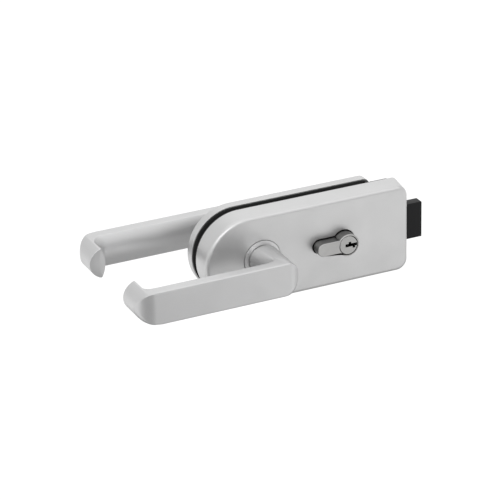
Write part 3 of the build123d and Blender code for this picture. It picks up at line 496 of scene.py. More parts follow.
def turning_marks(tree, given, result):
    """Turning marks of a lathe: a fine wave of the distance from an axis along Y."""
    place = add(tree, "ShaderNodeTexCoord")
    parts = add(tree, "ShaderNodeSeparateXYZ")
    away = add(tree, "ShaderNodeMath", operation="SUBTRACT")
    flat = add(tree, "ShaderNodeCombineXYZ")
    distance = add(tree, "ShaderNodeVectorMath", operation="LENGTH")
    fine = add(tree, "ShaderNodeMath", operation="MULTIPLY")
    wave = add(tree, "ShaderNodeMath", operation="SINE")
    link(
        tree, (place, "Object", parts, 0), (parts, "X", away, 0), (given, "Axis X", away, 1),
        (away, 0, flat, "X"), (parts, "Z", flat, "Z"), (flat, 0, distance, 0),
        (distance, "Value", fine, 0), (given, "Rings", fine, 1), (fine, 0, wave, 0),
        (wave, 0, result, "Height"),
    )


def painted_shade_behind(tree, given, result):
    """Painted shade: a share of brightness that falls from one at a level along Y to the given one behind
    it.
    """
    place = add(tree, "ShaderNodeTexCoord")
    parts = add(tree, "ShaderNodeSeparateXYZ")
    away = add(tree, "ShaderNodeMath", operation="SUBTRACT")
    fall = add(tree, "ShaderNodeMapRange", {"To Min": 1.0})
    link(
        tree, (place, "Object", parts, 0), (parts, "Y", away, 0), (given, "Level", away, 1),
        (away, 0, fall, "Value"), (given, "Start", fall, "From Min"),
        (given, "End", fall, "From Max"), (given, "Share", fall, "To Max"),
        (fall, "Result", result, "Value"),
    )


# Each effect's name with what builds it, its inputs and its output
EFFECTS = {
    "Surface grain": (surface_grain, {"Frequency": (3000.0, 3000.0, 3000.0)}, "Height"),
    "Handling marks": (handling_marks, {"Size": 45.0, "Low": 0.35, "High": 0.45}, "Value"),
    "Edge wear": (edge_wear, {"Start": 0.52, "End": 0.60, "Amount": 0.5}, "Mask"),
    "Turning marks": (turning_marks, {"Axis X": 0.0, "Rings": 18000.0}, "Height"),
    # Painted shade: the colour behind a front face falls to a share of itself
    "Dull behind": (
        painted_shade_behind, {"Level": 0.0, "Start": 0.0003, "End": 0.0009, "Share": 0.3}, "Value"
    ),
}


def effect(tree, name, values):
    """A node of an effect's group with its values; the group is built the first time."""
    if name not in bpy.data.node_groups:
        build, inputs, output = EFFECTS[name]
        group = bpy.data.node_groups.new(name, "ShaderNodeTree")
        for socket, value in inputs.items():
            kind = "NodeSocketFloat" if isinstance(value, float) else "NodeSocketVector"
            made = group.interface.new_socket(socket, in_out="INPUT", socket_type=kind)
            made.default_value = value
        group.interface.new_socket(output, in_out="OUTPUT", socket_type="NodeSocketFloat")
        build(group, group.nodes.new("NodeGroupInput"), group.nodes.new("NodeGroupOutput"))
    return add(tree, "ShaderNodeGroup", values, node_tree=bpy.data.node_groups[name])


def finish(
    name, colour, frequency, bump, metallic=1.0, roughness=None, worn=None, wear=0.0, tone=0.03,
    spread=0.05, specular=0.5, axis_x=None, face_y=None,
):
    """A material: grain as bump and slight change of tone, uneven roughness and worn edges.

    colour names one of the colour settings, and the grain's frequency is given along X, Y and Z.
    Without a roughness it gets that of satin metal. axis_x is the place of an axis along Y with
    turning marks round it. With face_y, shade is painted into the colour of all that lies behind
    the front face at that level, and only that face keeps its full brightness.
    """
    if name in bpy.data.materials:
        return bpy.data.materials[name]
    settings = bpy.context.scene.lockset_finish
    base = tuple(getattr(settings, colour))
    roughness = roughness or settings.satin_roughness
    made, shader = material(name, {"Metallic": metallic, "Specular IOR Level": specular})
    tree = made.node_tree
    grain = effect(tree, "Surface grain", {"Frequency": frequency})
    low, high = max(roughness - spread, LEAST_ROUGHNESS), min(roughness + spread, 1.0)
    marks = effect(tree, "Handling marks", {"Low": low, "High": high})
    edges = effect(tree, "Edge wear", {"Amount": wear})
    shade = add(tree, "ShaderNodeMapRange", {"To Min": 1 - tone, "To Max": 1 + tone})
    tinted = add(tree, "ShaderNodeVectorMath", {0: base}, operation="SCALE")
    rubbed = add(tree, "ShaderNodeMix", {7: (*(worn or base), 1.0)}, data_type="RGBA")
    relief = add(tree, "ShaderNodeBump", {"Strength": bump, "Distance": RELIEF_HEIGHT})
    link(
        tree, (grain, 0, shade, "Value"), (shade, "Result", tinted, "Scale"),
        (tinted, 0, rubbed, 6), (edges, 0, rubbed, "Factor"), (rubbed, 2, shader, "Base Color"),
        (marks, 0, shader, "Roughness"), (grain, 0, relief, "Height"),
        (relief, "Normal", shader, "Normal"),
    )
    # Painted shade: the colour of all behind the front face is darkened to stand in for the shade on the
    # walls there
    if face_y is not None:
        painted_wall_shade = effect(tree, "Dull behind", {"Level": face_y})
        darker = add(tree, "ShaderNodeMath", operation="MULTIPLY")
        link(
            tree, (shade, "Result", darker, 0), (painted_wall_shade, 0, darker, 1), (darker, 0, tinted, "Scale")
        )
    if axis_x is not None:
        turned = effect(tree, "Turning marks", {"Axis X": axis_x})
        both = add(tree, "ShaderNodeMath", operation="ADD")
        link(tree, (grain, 0, both, 0), (turned, 0, both, 1), (both, 0, relief, "Height"))
    return made


def satin_metal():
    """Fine satin metal of the shells, brushed along the case."""
    return finish(
        "Satin metal", "satin", (700.0, 3800.0, 3800.0), 0.25, worn=(0.68, 0.68, 0.675), wear=0.25
    )


def lever_metal():
    """Satin metal of the levers, a little smoother where hands rub it."""
    return finish(
        "Lever metal", "lever", (900.0, 3600.0, 3600.0), 0.22, worn=(0.68, 0.68, 0.675), wear=0.25
    )


def collar_metal():
    """Turned satin metal of the collars."""
    return finish(
        "Collar metal", "satin", (2500.0, 2500.0, 2500.0), 0.2, worn=(0.75, 0.75, 0.745),
        wear=0.5, axis_x=0.0,
    )


def nickel():
    """Matt nickel plate of the lock cylinder's housing, with shade painted on all that lies behind its
    front face.
    """
    return finish(
        "Matt nickel", "nickel", (2600.0, 900.0, 2600.0), 0.2, roughness=0.3,
        worn=(0.62, 0.615, 0.6), wear=0.5, face_y=BODY_LOW[1],
    )


def turned_nickel():
    """Turned nickel face of the plug."""
    return finish(
        "Turned nickel", "nickel", (2600.0, 2600.0, 2600.0), 0.25, roughness=0.24,
        worn=(0.62, 0.615, 0.6), wear=0.5, axis_x=bpy.context.scene.lockset_lock.reach,
    )


def zinc_steel():
    """Bright zinc plate on steel parts."""
    return finish(
        "Zinc plated steel", "zinc", (1800.0, 1800.0, 1800.0), 0.3, roughness=0.34,
        worn=(0.7, 0.7, 0.7), wear=0.4, tone=0.08, spread=0.08,
    )


def dark_steel():
    """Blackened steel of the grub screws."""
    return finish(
        "Blackened steel", "dark_steel", (2400.0, 2400.0, 2400.0), 0.35, roughness=0.42,
        worn=(0.4, 0.4, 0.4), wear=0.6, tone=0.1,
    )


def spring_steel():
    """Drawn spring wire."""
    return finish(
        "Spring steel", "spring", (2000.0, 2000.0, 2000.0), 0.2, roughness=0.28, tone=0.06
    )


def brass():
    """Turned brass of the pins."""
    return finish("Brass", "brass", (2200.0, 2200.0, 2200.0), 0.25, roughness=0.3, tone=0.05)


def black_plastic():
    """Moulded black plastic of the bolt, with a fine eroded texture and paler rubbed edges."""
    return finish(
        "Black plastic", "black", (3200.0, 3200.0, 3200.0), 0.6, metallic=0.0, roughness=0.42,
        worn=(0.03, 0.03, 0.03), wear=0.8, tone=0.12, spread=0.07, specular=0.13,
    )


def black_rubber():
    """Dull rubber of the gaskets with a faint bloom."""
    return finish(
        "Black rubber", "rubber", (1500.0, 1500.0, 1500.0), 0.7, metallic=0.0, roughness=0.66,
        tone=0.2, spread=0.1,
    )


def white_plastic():
    """White moulded plastic of the sleeves."""
    return finish(
        "White plastic", "white", (1500.0, 1500.0, 1500.0), 0.3, metallic=0.0, roughness=0.45,
        tone=0.02,
    )


# Shells


def case_curve(left, right, half, corner, straight, end_levels):
    """A shell's outline seen from the front, anticlockwise from the top of its round end.

    Half a circle at the left, a straight lower side, two corners round a straight end and a
    straight upper side. Each point comes with its outward direction, so that a point less an
    inset times its direction lies on the outline of a smaller shell.
    """

    def turned(x, z, radius, angle):
        """Part of a circle, without its last point."""
        way = arc((0.0, 0.0), 1.0, angle[:-1])
        return np.array([x, z]) + radius * way, way

    def run(x, z, way):
        """A straight side, without its last point."""
        points = pair(x, z)[:-1]
        return points, np.broadcast_to(way, points.shape)

    turn = np.linspace(-QUARTER, 0, 11)
    points, ways = zip(
        turned(left + half, 0.0, half, np.linspace(QUARTER, 3 * QUARTER, 57)),
        run(straight, -half, (0.0, -1.0)),
        turned(right - corner, corner - half, corner, turn),
        run(right, end_levels, (1.0, 0.0)),
        turned(right - corner, half - corner, corner, turn + QUARTER),
        run(straight[::-1], half, (0.0, 1.0)),
    )
    return np.concatenate(points), np.concatenate(ways)


def screw_recess(outer_rim, inner_rim, x, y, outer_z, inner_z, sizes):
    """A countersunk hole in the lower wall: rings from each opening's rim to the hole, and a cone."""
    angle = np.arctan2(outer_rim[:, 1] - y, outer_rim[:, 0] - x)

    def circle(radius, z):
        """A ring about the screw's axis at a height."""
        return np.column_stack([arc((x, y), radius, angle), np.full(len(angle), z)])

    return bands(
        outer_rim,
        circle(sizes.screw_sink + sizes.mouth_break, outer_z),
        circle(sizes.screw_sink, outer_z + sizes.mouth_break / 2),
        circle(sizes.screw_hole, outer_z + sizes.screw_sink_depth),
        circle(sizes.screw_hole, inner_z),
        inner_rim,
    )


def wall_grids(curve, face_curve, ways, depth, wall, edge_round, lip, levels):
    """Outer and inner walls of a shell as two grids of the front view, each with its depths.

    Each row is the outline at an inset and a depth. The outline goes evenly from the rim's to the
    face's, which it reaches where the rounded edge starts. That edge is a quarter circle; the
    inner one is smaller by the wall. Depth is measured from the rim.
    """
    bend = np.linspace(0, QUARTER, 9)
    lip_bend = np.linspace(QUARTER, 0, 4)

    def rounded(inset, radius):
        """Insets and depths of a quarter circle that starts at an inset."""
        return pair(
            inset + radius * (1 - np.cos(bend)), depth - edge_round + radius * np.sin(bend)
        )

    outer = [
        lip * (1 - pair(np.cos(lip_bend), np.sin(lip_bend))),
        pair(0.0, levels)[1:-1],
        rounded(0.0, edge_round),
    ]
    inner = [pair(wall, levels)[:-1], rounded(wall, edge_round - wall)]
    grids = []
    for rows in (np.concatenate(outer), np.concatenate(inner)):
        share = np.minimum(rows[:, 1] / (depth - edge_round), 1)[:, None, None]
        outline = curve + (face_curve - curve) * share
        grids.append((outline - rows[:, 0, None, None] * ways, rows[:, 1]))
    return grids


def shell_sheets(
    curve, face_curve, ways, rim_y, face_y, wall, edge_round, screw_y, window, slots, sizes,
):
    """A shell's walls with two screw holes and its slots, and the outline of its flat face.

    window is half the size of the openings round the screws, along X and Y. A slot is a plain
    opening: its first and last column, and the two depths between which it lies.
    """
    depth = abs(face_y - rim_y)
    screw_depth = abs(screw_y - rim_y)
    near, far = screw_depth - window[1], screw_depth + window[1]
    half = -curve[:, 1].min()
    screws = (sizes.screw_reach_left, sizes.screw_reach_right)
    openings = [
        (*(nearest_point(curve, x + way * window[0], -half) for way in (-1, 1)), near, far)
        for x in screws
    ]
    openings += slots
    edges = [0.0, sizes.mouth_break, depth - edge_round]
    levels = np.concatenate([edges, np.linspace(near, far, 9), *(slot[2:] for slot in slots)])
    levels = np.unique(np.round(levels, 9))
    grids = wall_grids(
        curve, face_curve, ways, depth, wall, edge_round, sizes.mouth_break, levels
    )
    sheets = []
    rims = []
    for flat, depths in grids:
        grid = in_space(flat, (rim_y + np.sign(face_y - rim_y) * depths)[:, None])
        cells = [
            (nearest(depths, first), nearest(depths, last), low, high)
            for low, high, first, last in openings
        ]
        sheets.append(sheet(grid, around=True, openings=cells))
        rims.append([opening_rim(grid, cell) for cell in cells] + [grid[0]])
    pairs = list(zip(*rims))
    for x, (outer, inner) in zip(screws, pairs):
        sheets.append(screw_recess(outer, inner, x, screw_y, -half, wall - half, sizes))
    sheets += [bands(outer, inner) for outer, inner in pairs[len(screws):]]
    return sheets, grids[0][0][-1]


def pear_curve(lock, margin, counts):
    """The lock cylinder's profile, anticlockwise from the top of its web's foot.

    Half a circle at the foot, the web's lower side, the large circle and the web's upper side,
    each divided into the given number of steps.
    """
    foot_x = BODY_LOW[0] + lock.web_half
    half = lock.web_half + margin
    radius = lock.radius + margin
    join = math.asin(half / radius)
    join_x = lock.reach - radius * math.cos(join)
    foot = np.linspace(QUARTER, 3 * QUARTER, counts[0] + 1)
    large = np.linspace(-math.pi + join, math.pi - join, counts[2] + 1)
    parts = [
        arc((foot_x, 0.0), half, foot),
        pair(np.linspace(foot_x, join_x, counts[1] + 1), -half),
        arc((lock.reach, 0.0), radius, large),
        pair(np.linspace(join_x, foot_x, counts[3] + 1), half),
    ]
    return np.concatenate([part[:-1] for part in parts])


def face_ring(boundary, hole, wide_hole, face_y, edge_y, inner_y):
    """A face with a hole: outer ring, the hole's rounded edge and wall, and the inner ring."""
    return bands(
        in_space(boundary, face_y),
        in_space(wide_hole, face_y),
        in_space(hole, edge_y),
        in_space(hole, inner_y),
        in_space(boundary, inner_y),
    )


def collar_holes(boundary, sizes):
    """The collar's hole and its wider mouth, each point in line with one of the boundary."""
    angle = np.arctan2(boundary[:, 1], boundary[:, 0])
    centre = (0.0, 0.0)
    radius = sizes.collar_hole
    return arc(centre, radius, angle), arc(centre, radius + sizes.mouth_break, angle)


class LOCKSET_OT_front_shell(Operator):
    """Builds the deep front shell with its holes for the lever, the cylinder, the bolt and two screws"""

    bl_idname = "lockset.front_shell"
    bl_label = "Front shell"

    def execute(self, context):
        sizes = context.scene.lockset_shell
        lock = context.scene.lockset_lock
        left, right, half = FRONT_LOW[0], FRONT_HIGH[0], FRONT_HIGH[2]
        rim_y, face_y = FRONT_HIGH[1], FRONT_LOW[1]
        first, second = sizes.screw_reach_left, sizes.screw_reach_right
        window = WINDOW_ALONG * sizes.screw_sink
        split = (sizes.collar_hole + BODY_LOW[0]) / 2
        bolt_half = BOLT_HIGH[2] + lock.bolt_gap

        def outline(corner):
            """The shell's outline with corners of a radius."""
            straight = stops(
                left + half, 6, first - window, 8, first + window, 6, split, 6,
                lock.reach - lock.radius, 3, second - window, 8, second + window, 10,
                right - corner,
            )
            end_levels = stops(corner - half, 4, -bolt_half, 10, bolt_half, 4, half - corner)
            return case_curve(left, right, half, corner, straight, end_levels)

        curve, ways = outline(sizes.rim_corner)
        face_curve, _ = outline(sizes.face_corner)
        bolt_slot = (
            nearest_point(curve, right, -bolt_half), nearest_point(curve, right, bolt_half),
            rim_y - BOLT_HIGH[1] - lock.bolt_gap / 2, rim_y - BOLT_LOW[1] + lock.bolt_gap,
        )
        sheets, face = shell_sheets(
            curve, face_curve, ways, rim_y, face_y, sizes.front_wall, sizes.front_round,
            -sizes.front_screw_level, (window, window), [bolt_slot], sizes,
        )

        # Both faces are split into two rings along a line between the collar and the cylinder.
        edge = sizes.mouth_break
        levels = (face_y, face_y + edge, face_y + sizes.front_wall)
        low, high = nearest_point(curve, split, -half), nearest_point(curve, split, half)
        count = 24
        line = np.linspace(face[low], face[high], count + 1)
        left_loop = np.concatenate([face[high:], face[:low], line[:-1]])
        sheets.append(face_ring(left_loop, *collar_holes(left_loop, sizes), *levels))
        right_loop = np.concatenate([line[::-1][:-1], face[low:high]])
        web_columns = nearest_point(curve, lock.reach - lock.radius, -half) - low
        counts = (count, web_columns, len(right_loop) - count - 2 * web_columns, web_columns)
        pear = pear_curve(lock, sizes.profile_fit, counts)
        wide_pear = pear_curve(lock, sizes.profile_fit + edge, counts)
        sheets.append(face_ring(right_loop, pear, wide_pear, *levels))
        make_piece("Front_shell", sheets, "front_cover", "satin_metal", satin_metal())
        return {"FINISHED"}


class LOCKSET_OT_rear_shell(Operator):
    """Builds the shallow rear shell with its holes for the lever and two screws"""

    bl_idname = "lockset.rear_shell"
    bl_label = "Rear shell"

    def execute(self, context):
        sizes = context.scene.lockset_shell
        left, right, half = REAR_LOW[0], REAR_HIGH[0], REAR_HIGH[2]
        rim_y, face_y = REAR_LOW[1], REAR_HIGH[1]
        corner = sizes.rear_corner
        first, second = sizes.screw_reach_left, sizes.screw_reach_right
        # The openings round the screws end just short of the rounded edge.
        room = face_y - sizes.rear_round - sizes.rear_screw_level - LEAST_GAP
        window = (WINDOW_ALONG * sizes.screw_sink, min(WINDOW_ACROSS * sizes.screw_sink, room))
        straight = stops(
            left + half, 6, first - window[0], 8, first + window[0], 16, second - window[0], 8,
            second + window[0], 8, right - corner,
        )
        end_levels = stops(corner - half, 16, half - corner)
        curve, ways = case_curve(left, right, half, corner, straight, end_levels)
        sheets, face = shell_sheets(
            curve, curve, ways, rim_y, face_y, sizes.rear_wall, sizes.rear_round,
            sizes.rear_screw_level, window, [], sizes,
        )
        levels = (face_y, face_y - sizes.mouth_break, face_y - sizes.rear_wall)
        sheets.append(face_ring(face, *collar_holes(face, sizes), *levels))
        make_piece("Rear_shell", sheets, "rear_cover", "satin_metal", satin_metal())
        return {"FINISHED"}


# Levers


def bow(z, half, sagitta):
    """Distance of a shallow arc from its chord, at places along the chord.

    It is the root of the radius squared less z squared, less that root at the chord's end.
    """
    radius = (half**2 + sagitta**2) / (2 * sagitta)
    return np.sqrt(radius**2 - z**2) - (radius - sagitta)


def end_bow(z, half, sagitta, blend):
    """The grip's bowed end: an arc over its height, joined to the flat sides by a smaller arc."""
    radius = (half**2 + sagitta**2) / (2 * sagitta)
    level = half - blend
    inside = math.sqrt((radius - blend) ** 2 - level**2) - (radius - sagitta)
    start = radius * level / (radius - blend)
    over = np.clip(np.abs(z), start, half) - level
    small = np.sqrt(np.maximum(blend**2 - over**2, 0)) + inside
    return np.where(np.abs(z) < start, bow(z, half, sagitta), small)


def edge_drop(z, half, edge_round):
    """How far a rounded edge lies below its face: a quarter circle over the last of the width."""
    over = np.clip(np.abs(z) - (half - edge_round), 0, edge_round)
    return edge_round - np.sqrt(edge_round**2 - over**2)


def loop_rows(outer, inner, spans):
    """Rows of closed loops: the outer side, the upper strip, the inner side and the lower strip.

    Both sides run from the lowest to the highest column; the strips between them are straight.
    """
    top = between(outer[:, -1], inner[:, -1], spans).transpose(1, 0, 2)
    low = between(inner[:, 0], outer[:, 0], spans).transpose(1, 0, 2)
    return np.concatenate([outer, top, inner[:, ::-1], low], axis=1)


def round_section(turns, spans, front, back):
    """A loop of the neck's round section, seen along Y.

    Front and back are circles, each a centre along X and a radius. The outer side takes
    ELBOW_SPAN of the front circle up and down, the inner side GRIP_SPAN of the back one; the
    strips pass from one circle to the other.
    """

    def on(circle, angle):
        """Points of a circle, given as its centre along X and its radius."""
        return arc((circle[0], 0.0), circle[1], angle)

    angle = ELBOW_SPAN + spans * (math.pi - GRIP_SPAN - ELBOW_SPAN)
    share = spans[:, None]
    top = on(front, angle) * (1 - share) + on(back, angle) * share
    outer = on(front, turns * ELBOW_SPAN)
    inner = on(back, math.pi - turns * GRIP_SPAN)
    low = top[::-1] * np.array([1.0, -1.0])
    return np.concatenate([outer, top, inner[::-1], low])


def lever_grid(s):
    """The lever's skin as a grid: rows run from the return's end to the neck, columns round it.

    Points are X, outward distance and Z. Columns are the outer side at heights half times the
    sine of an angle, the flat upper side, the inner side and the flat lower side. For each
    height the outer side follows the return, a crease, the rounded corner, the flat face, the
    elbow's corner and the neck; the inner side follows the return, a corner arc, the bulging
    grip, a curved corner and the neck. The neck goes in straight lines from the elbow's section
    to the swollen section at its shoulder, and in a curve from there to its round foot. Also
    gives the row and column ranges of the grub screw's opening.
    """
    half = s.height / 2
    angle = np.linspace(-QUARTER, QUARTER, 57)
    side = np.sin(angle)
    z = half * side
    elbow_level = s.reach - s.flat_depth
    end_level = s.reach - s.return_depth + s.return_lip
    left_centre = s.return_round - s.return_axis - s.return_bow - s.return_margin
    right_centre = -s.elbow_round + s.elbow_axis + s.elbow_bow + s.elbow_margin

    def at(x, out, height=z):
        """Points from their places along X, outward distances and heights."""
        return np.stack(np.broadcast_arrays(x, out, height), axis=-1)

    def left_end(height):
        """The free end seen from the front: half an ellipse."""
        return -s.return_axis - s.return_bow * np.sqrt(np.maximum(1 - (height / half) ** 2, 0))

    def crossing(x, centre, way, radius):
        """Where a plan round meets the grip's end, as a length along the round."""
        past = way * (x - centre)
        return np.where(past > 0, radius * np.arcsin(np.clip(past / radius, 0, 1)), past)

    def top_level(past, radius, height):
        """The face's level at a length along a plan round, less its rounded long edges."""
        turn = np.maximum(past, 0) / radius
        return s.reach - radius * (1 - np.cos(turn)) - edge_drop(height, half, s.edge_round)

    def face(past, centre, way, radius, height=z):
        """The face's points at lengths along a plan round, or along the flat before it."""
        turn = np.maximum(past, 0) / radius
        x = centre + way * (radius * np.sin(turn) + np.minimum(past, 0))
        return at(x, top_level(past, radius, height), height)

    def crease(height):
        """Round of the crease, which gets softer towards the bottom."""
        return s.crease_round + s.crease_spread * (1 - height / half) / 2

    def left_top(height):
        """Where the free end's round meets its side, and the level there."""
        past = crossing(left_end(height), left_centre, -1, s.return_round)
        return past, top_level(past, s.return_round, height)

    # Outer side, from the return's end over its rounded corner onto the flat face. The return
    # is a little lower than the grip: its columns spread out to the grip's height on the way.
    counts = (8, 4, 5, 13)
    share = np.linspace(0, 1, sum(counts[1:]))
    reached = s.return_tip + (half - s.return_tip) * share**2 * (3 - 2 * share)
    tall = np.concatenate([np.full(counts[0], s.return_tip), reached])[:, None] * side
    low_z, upper_z, crease_z, turn_z = np.split(tall, np.cumsum(counts)[:-1])
    middle = elbow_level - s.inner_round
    rise, climb, bend = (np.arange(count)[:, None] / count for count in counts[:3])
    run = np.linspace(0, 1, counts[3])[:, None]

    return_rows = at(left_end(low_z), end_level + (middle - end_level) * rise, low_z)
    _, out = left_top(upper_z)
    upper_out = middle + (out - crease(upper_z) - middle) * climb
    upper_rows = at(left_end(upper_z), upper_out, upper_z)
    past, out = left_top(crease_z)
    x, soft = left_end(crease_z), crease(crease_z)
    left_crease = curve_through(
        at(x, out - soft, crease_z), at(x, out, crease_z),
        face(past - soft, left_centre, -1, s.return_round, crease_z), bend,
    )
    past, _ = left_top(turn_z)
    past = (past - crease(turn_z)) * (1 - run) - s.face_run * run
    left_turn = face(past, left_centre, -1, s.return_round, turn_z)

    # The flat face and the elbow's corner
    right = s.elbow_axis + end_bow(z, half, s.elbow_bow, s.elbow_blend)
    past = crossing(right, right_centre, 1, s.elbow_round)
    right_out = s.reach - s.elbow_round * (1 - np.cos(past / s.elbow_round))
    right_out -= edge_drop(z, half, s.edge_round)
    past = (past - crease(z)) * run - s.face_run * (1 - run)
    right_turn = face(past, right_centre, 1, s.elbow_round)
    along = np.linspace(0, 1, 15)[1:-1]
    grip_rows = between(left_turn[-1], right_turn[0], along)
    neck_top = at(right, right_out - crease(z))
    fifths = np.linspace(0, 1, 6)[1:]
    right_crease = curve_through(right_turn[-1], at(right, right_out), neck_top, fifths)
    outer = np.concatenate(
        [return_rows, upper_rows, left_crease, left_turn, grip_rows, right_turn, right_crease]
    )

    # The neck's sections
    spans = np.linspace(0, 1, 7)[1:-1]
    turns = angle / QUARTER
    soft = edge_drop(z, half, s.inner_edge_round)
    neck_in = -(s.elbow_inner + bow(z, half, s.elbow_inner_sagitta)) + soft
    elbow = loop_rows(at(right, 0.0)[None], at(neck_in, 0.0)[None], spans)[0][:, ::2]
    shoulder = round_section(
        turns, spans,
        (s.shoulder_reach - s.shoulder_front, s.shoulder_front),
        (s.shoulder_back - s.shoulder_back_reach, s.shoulder_back),
    )
    foot = round_section(turns, spans, (0.0, s.foot_radius), (0.0, s.foot_radius))

    def neck_at(out):
        """The neck's loop at an outward distance, which each column may have for itself."""
        share = np.clip((out - s.shoulder_level) / (elbow_level - s.shoulder_level), 0, 1)
        flat = shoulder + (elbow - shoulder) * np.broadcast_to(share, len(elbow))[:, None]
        return in_space(flat, out)

    # Inner side
    inner_columns = slice(len(z) + len(spans), 2 * len(z) + len(spans))
    return_in = -s.return_inner - s.return_inner_bow
    return_in += bow(s.return_tip * side, s.return_tip, s.return_inner_bow)
    grip_in = elbow_level - bow(z, half, s.bulge) + soft
    corner_start = grip_in - s.inner_round
    inner_return = at(return_in, end_level + (corner_start - end_level) * rise, low_z)
    turn = np.linspace(math.pi, QUARTER, sum(counts[1:]))[:, None]
    inner_corner = at(
        return_in + s.inner_round * (1 + np.cos(turn)),
        corner_start + s.inner_round * np.sin(turn),
        np.concatenate([upper_z, crease_z, turn_z]),
    )
    around = loop_rows(at(0.0, grip_in)[None], at(0.0, grip_in)[None], spans)[0][:, 1]
    elbow_start = at(neck_in - s.elbow_run, grip_in)
    elbow_corner = neck_at(around)[inner_columns][::-1]
    elbow_end = neck_at(around - s.elbow_fall)[inner_columns][::-1]
    inner_grip = between(inner_corner[-1], elbow_start, along)
    elbow_shares = np.linspace(0, 1, len(right_turn) + len(right_crease))
    inner_elbow = curve_through(elbow_start, elbow_corner, elbow_end, elbow_shares)
    inner = np.concatenate([inner_return, inner_corner, inner_grip, inner_elbow])

    # The neck, whose rows become level above the grub screw's opening
    bar = loop_rows(outer, inner, spans)
    start = bar[-1, :, 1]
    falling = [neck_at(start * (1 - t) + s.neck_level * t) for t in np.linspace(0, 1, 9)[1:]]
    upper, lower = s.grub_depth + s.grub_window, s.grub_depth - s.grub_window
    window_rows = 6
    level = [
        neck_at(np.full(len(elbow), out))
        for out in stops(s.neck_level, 2, upper, window_rows, lower)[1:]
    ]
    swelling = curve_through(
        level[-1], in_space(shoulder, s.shoulder_level), in_space(foot, s.foot_level),
        np.linspace(0, 1, 8)[1:],
    )
    base = in_space(foot, -s.neck_sink)
    grid = np.concatenate([bar, np.stack(falling + level), swelling, base[None]])
    first_row = len(bar) + len(falling) + 1
    opening = (first_row, first_row + window_rows, inner_columns.stop - 5, len(elbow) - 1)
    return grid, opening


def lever_sheets(s):
    """The lever's skin, its rounded end, its closed neck and the grub screw's hole."""
    grid, opening = lever_grid(s)
    inwards = np.array([grid[0, :, 0].mean(), 0.0, 0.0]) - grid[0]
    inwards[:, 1] = 0
    inwards /= np.linalg.norm(inwards, axis=1)[:, None]
    rounded = [
        grid[0] + s.return_lip * (inwards * (1 - math.cos(t)) - np.array([0.0, math.sin(t), 0.0]))
        for t in np.linspace(0, QUARTER, 4)[1:]
    ]
    rim = opening_rim(grid, opening)
    angle = np.arctan2(rim[:, 1] - s.grub_depth, rim[:, 0])
    top, bottom, first, last = opening
    high_row, low_row = grid[top, first:last + 1], grid[bottom, first:last + 1]

    def on_skin(radius):
        """A circle on the neck's lower side: heights read off straight lines between two rows."""
        x, out = arc((0.0, s.grub_depth), radius, angle).T
        share = (out - low_row[0, 1]) / (high_row[0, 1] - low_row[0, 1])
        row = between(low_row, high_row, share)
        near = np.clip((row[:, :, 0] < x[:, None]).sum(axis=1), 1, row.shape[1] - 1)
        point = np.arange(len(x))
        start, end = row[point, near - 1], row[point, near]
        way = (x - start[:, 0]) / (end[:, 0] - start[:, 0])
        return np.stack([x, out, start[:, 2] * (1 - way) + end[:, 2] * way], axis=-1)

    mouth = on_skin(s.grub_hole + s.grub_edge)
    edge = on_skin(s.grub_hole) + np.array([0.0, 0.0, s.grub_edge])
    floor = edge * np.array([1.0, 1.0, 0.0]) - np.array([0.0, 0.0, s.grub_floor])
    return [
        sheet(grid, around=True, openings=[opening]),
        bands(grid[0], *rounded),
        pole(rounded[-1]),
        pole(grid[-1]),
        bands(rim, mouth, edge, floor),
        pole(floor),
    ]


def make_both(sheets, fronts, rears, slot, look, **settings):
    """Makes a front piece and its mirror image at the rear, each given by its name and node.

    The sheets' second coordinate is the distance outwards from a shell's face.
    """
    for (name, node), face_y, way in ((fronts, FRONT_LOW[1], -1.0), (rears, REAR_HIGH[1], 1.0)):
        flip, move = np.array([1.0, way, 1.0]), np.array([0.0, face_y, 0.0])
        placed = [(points * flip + move, quads) for points, quads in sheets]
        make_piece(name, placed, node, slot, look, **settings)


class LOCKSET_OT_levers(Operator):
    """Builds the two cranked levers, each with a flat face, an almond return and a round neck"""

    bl_idname = "lockset.levers"
    bl_label = "Levers"

    def execute(self, context):
        make_both(
            lever_sheets(context.scene.lockset_lever), ("Front_grip", "front_lever"),
            ("Rear_grip", "rear_lever"), "lever_metal", lever_metal(), sharp=32.0,
        )
        return {"FINISHED"}


class LOCKSET_OT_collars(Operator):
    """Builds the collars round the levers' necks as profiles turned about the spindle"""

    bl_idname = "lockset.collars"
    bl_label = "Collars"

    def execute(self, context):
        s = context.scene.lockset_collar
        if abs(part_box("rear_rose_ring")[1][1] - REAR_HIGH[1] - s.proud) > AGREEMENT:
            raise RuntimeError("the rear collar doesn't stand as far out as the front one")
        wall = context.scene.lockset_shell.front_wall
        inner_break = s.chamfer / 2
        # The visible chamfer is swollen: its middle lies this far inside the square corner.
        swollen = 0.3 * s.chamfer
        profile = np.array(
            [
                (s.bore, -wall - s.flange_thickness),
                (s.bore, s.proud - inner_break),
                (s.bore + inner_break, s.proud),
                (s.outer - s.chamfer, s.proud),
                (s.outer - swollen, s.proud - swollen),
                (s.outer, s.proud - s.chamfer),
                (s.outer, -wall),
                (s.flange, -wall),
                (s.flange, -wall - s.flange_thickness),
                (s.bore, -wall - s.flange_thickness),
            ]
        )
        circle = arc((0.0, 0.0), 1.0, np.linspace(0, 2 * math.pi, 129)[:-1])
        grid = in_space(profile[:, :1, None] * circle, profile[:, 1:])
        make_both(
            [sheet(grid, around=True)], ("Front_collar", "front_rose_ring"),
            ("Rear_collar", "rear_rose_ring"), "satin_metal", collar_metal(),
        )
        return {"FINISHED"}


# Lock cylinder and bolt


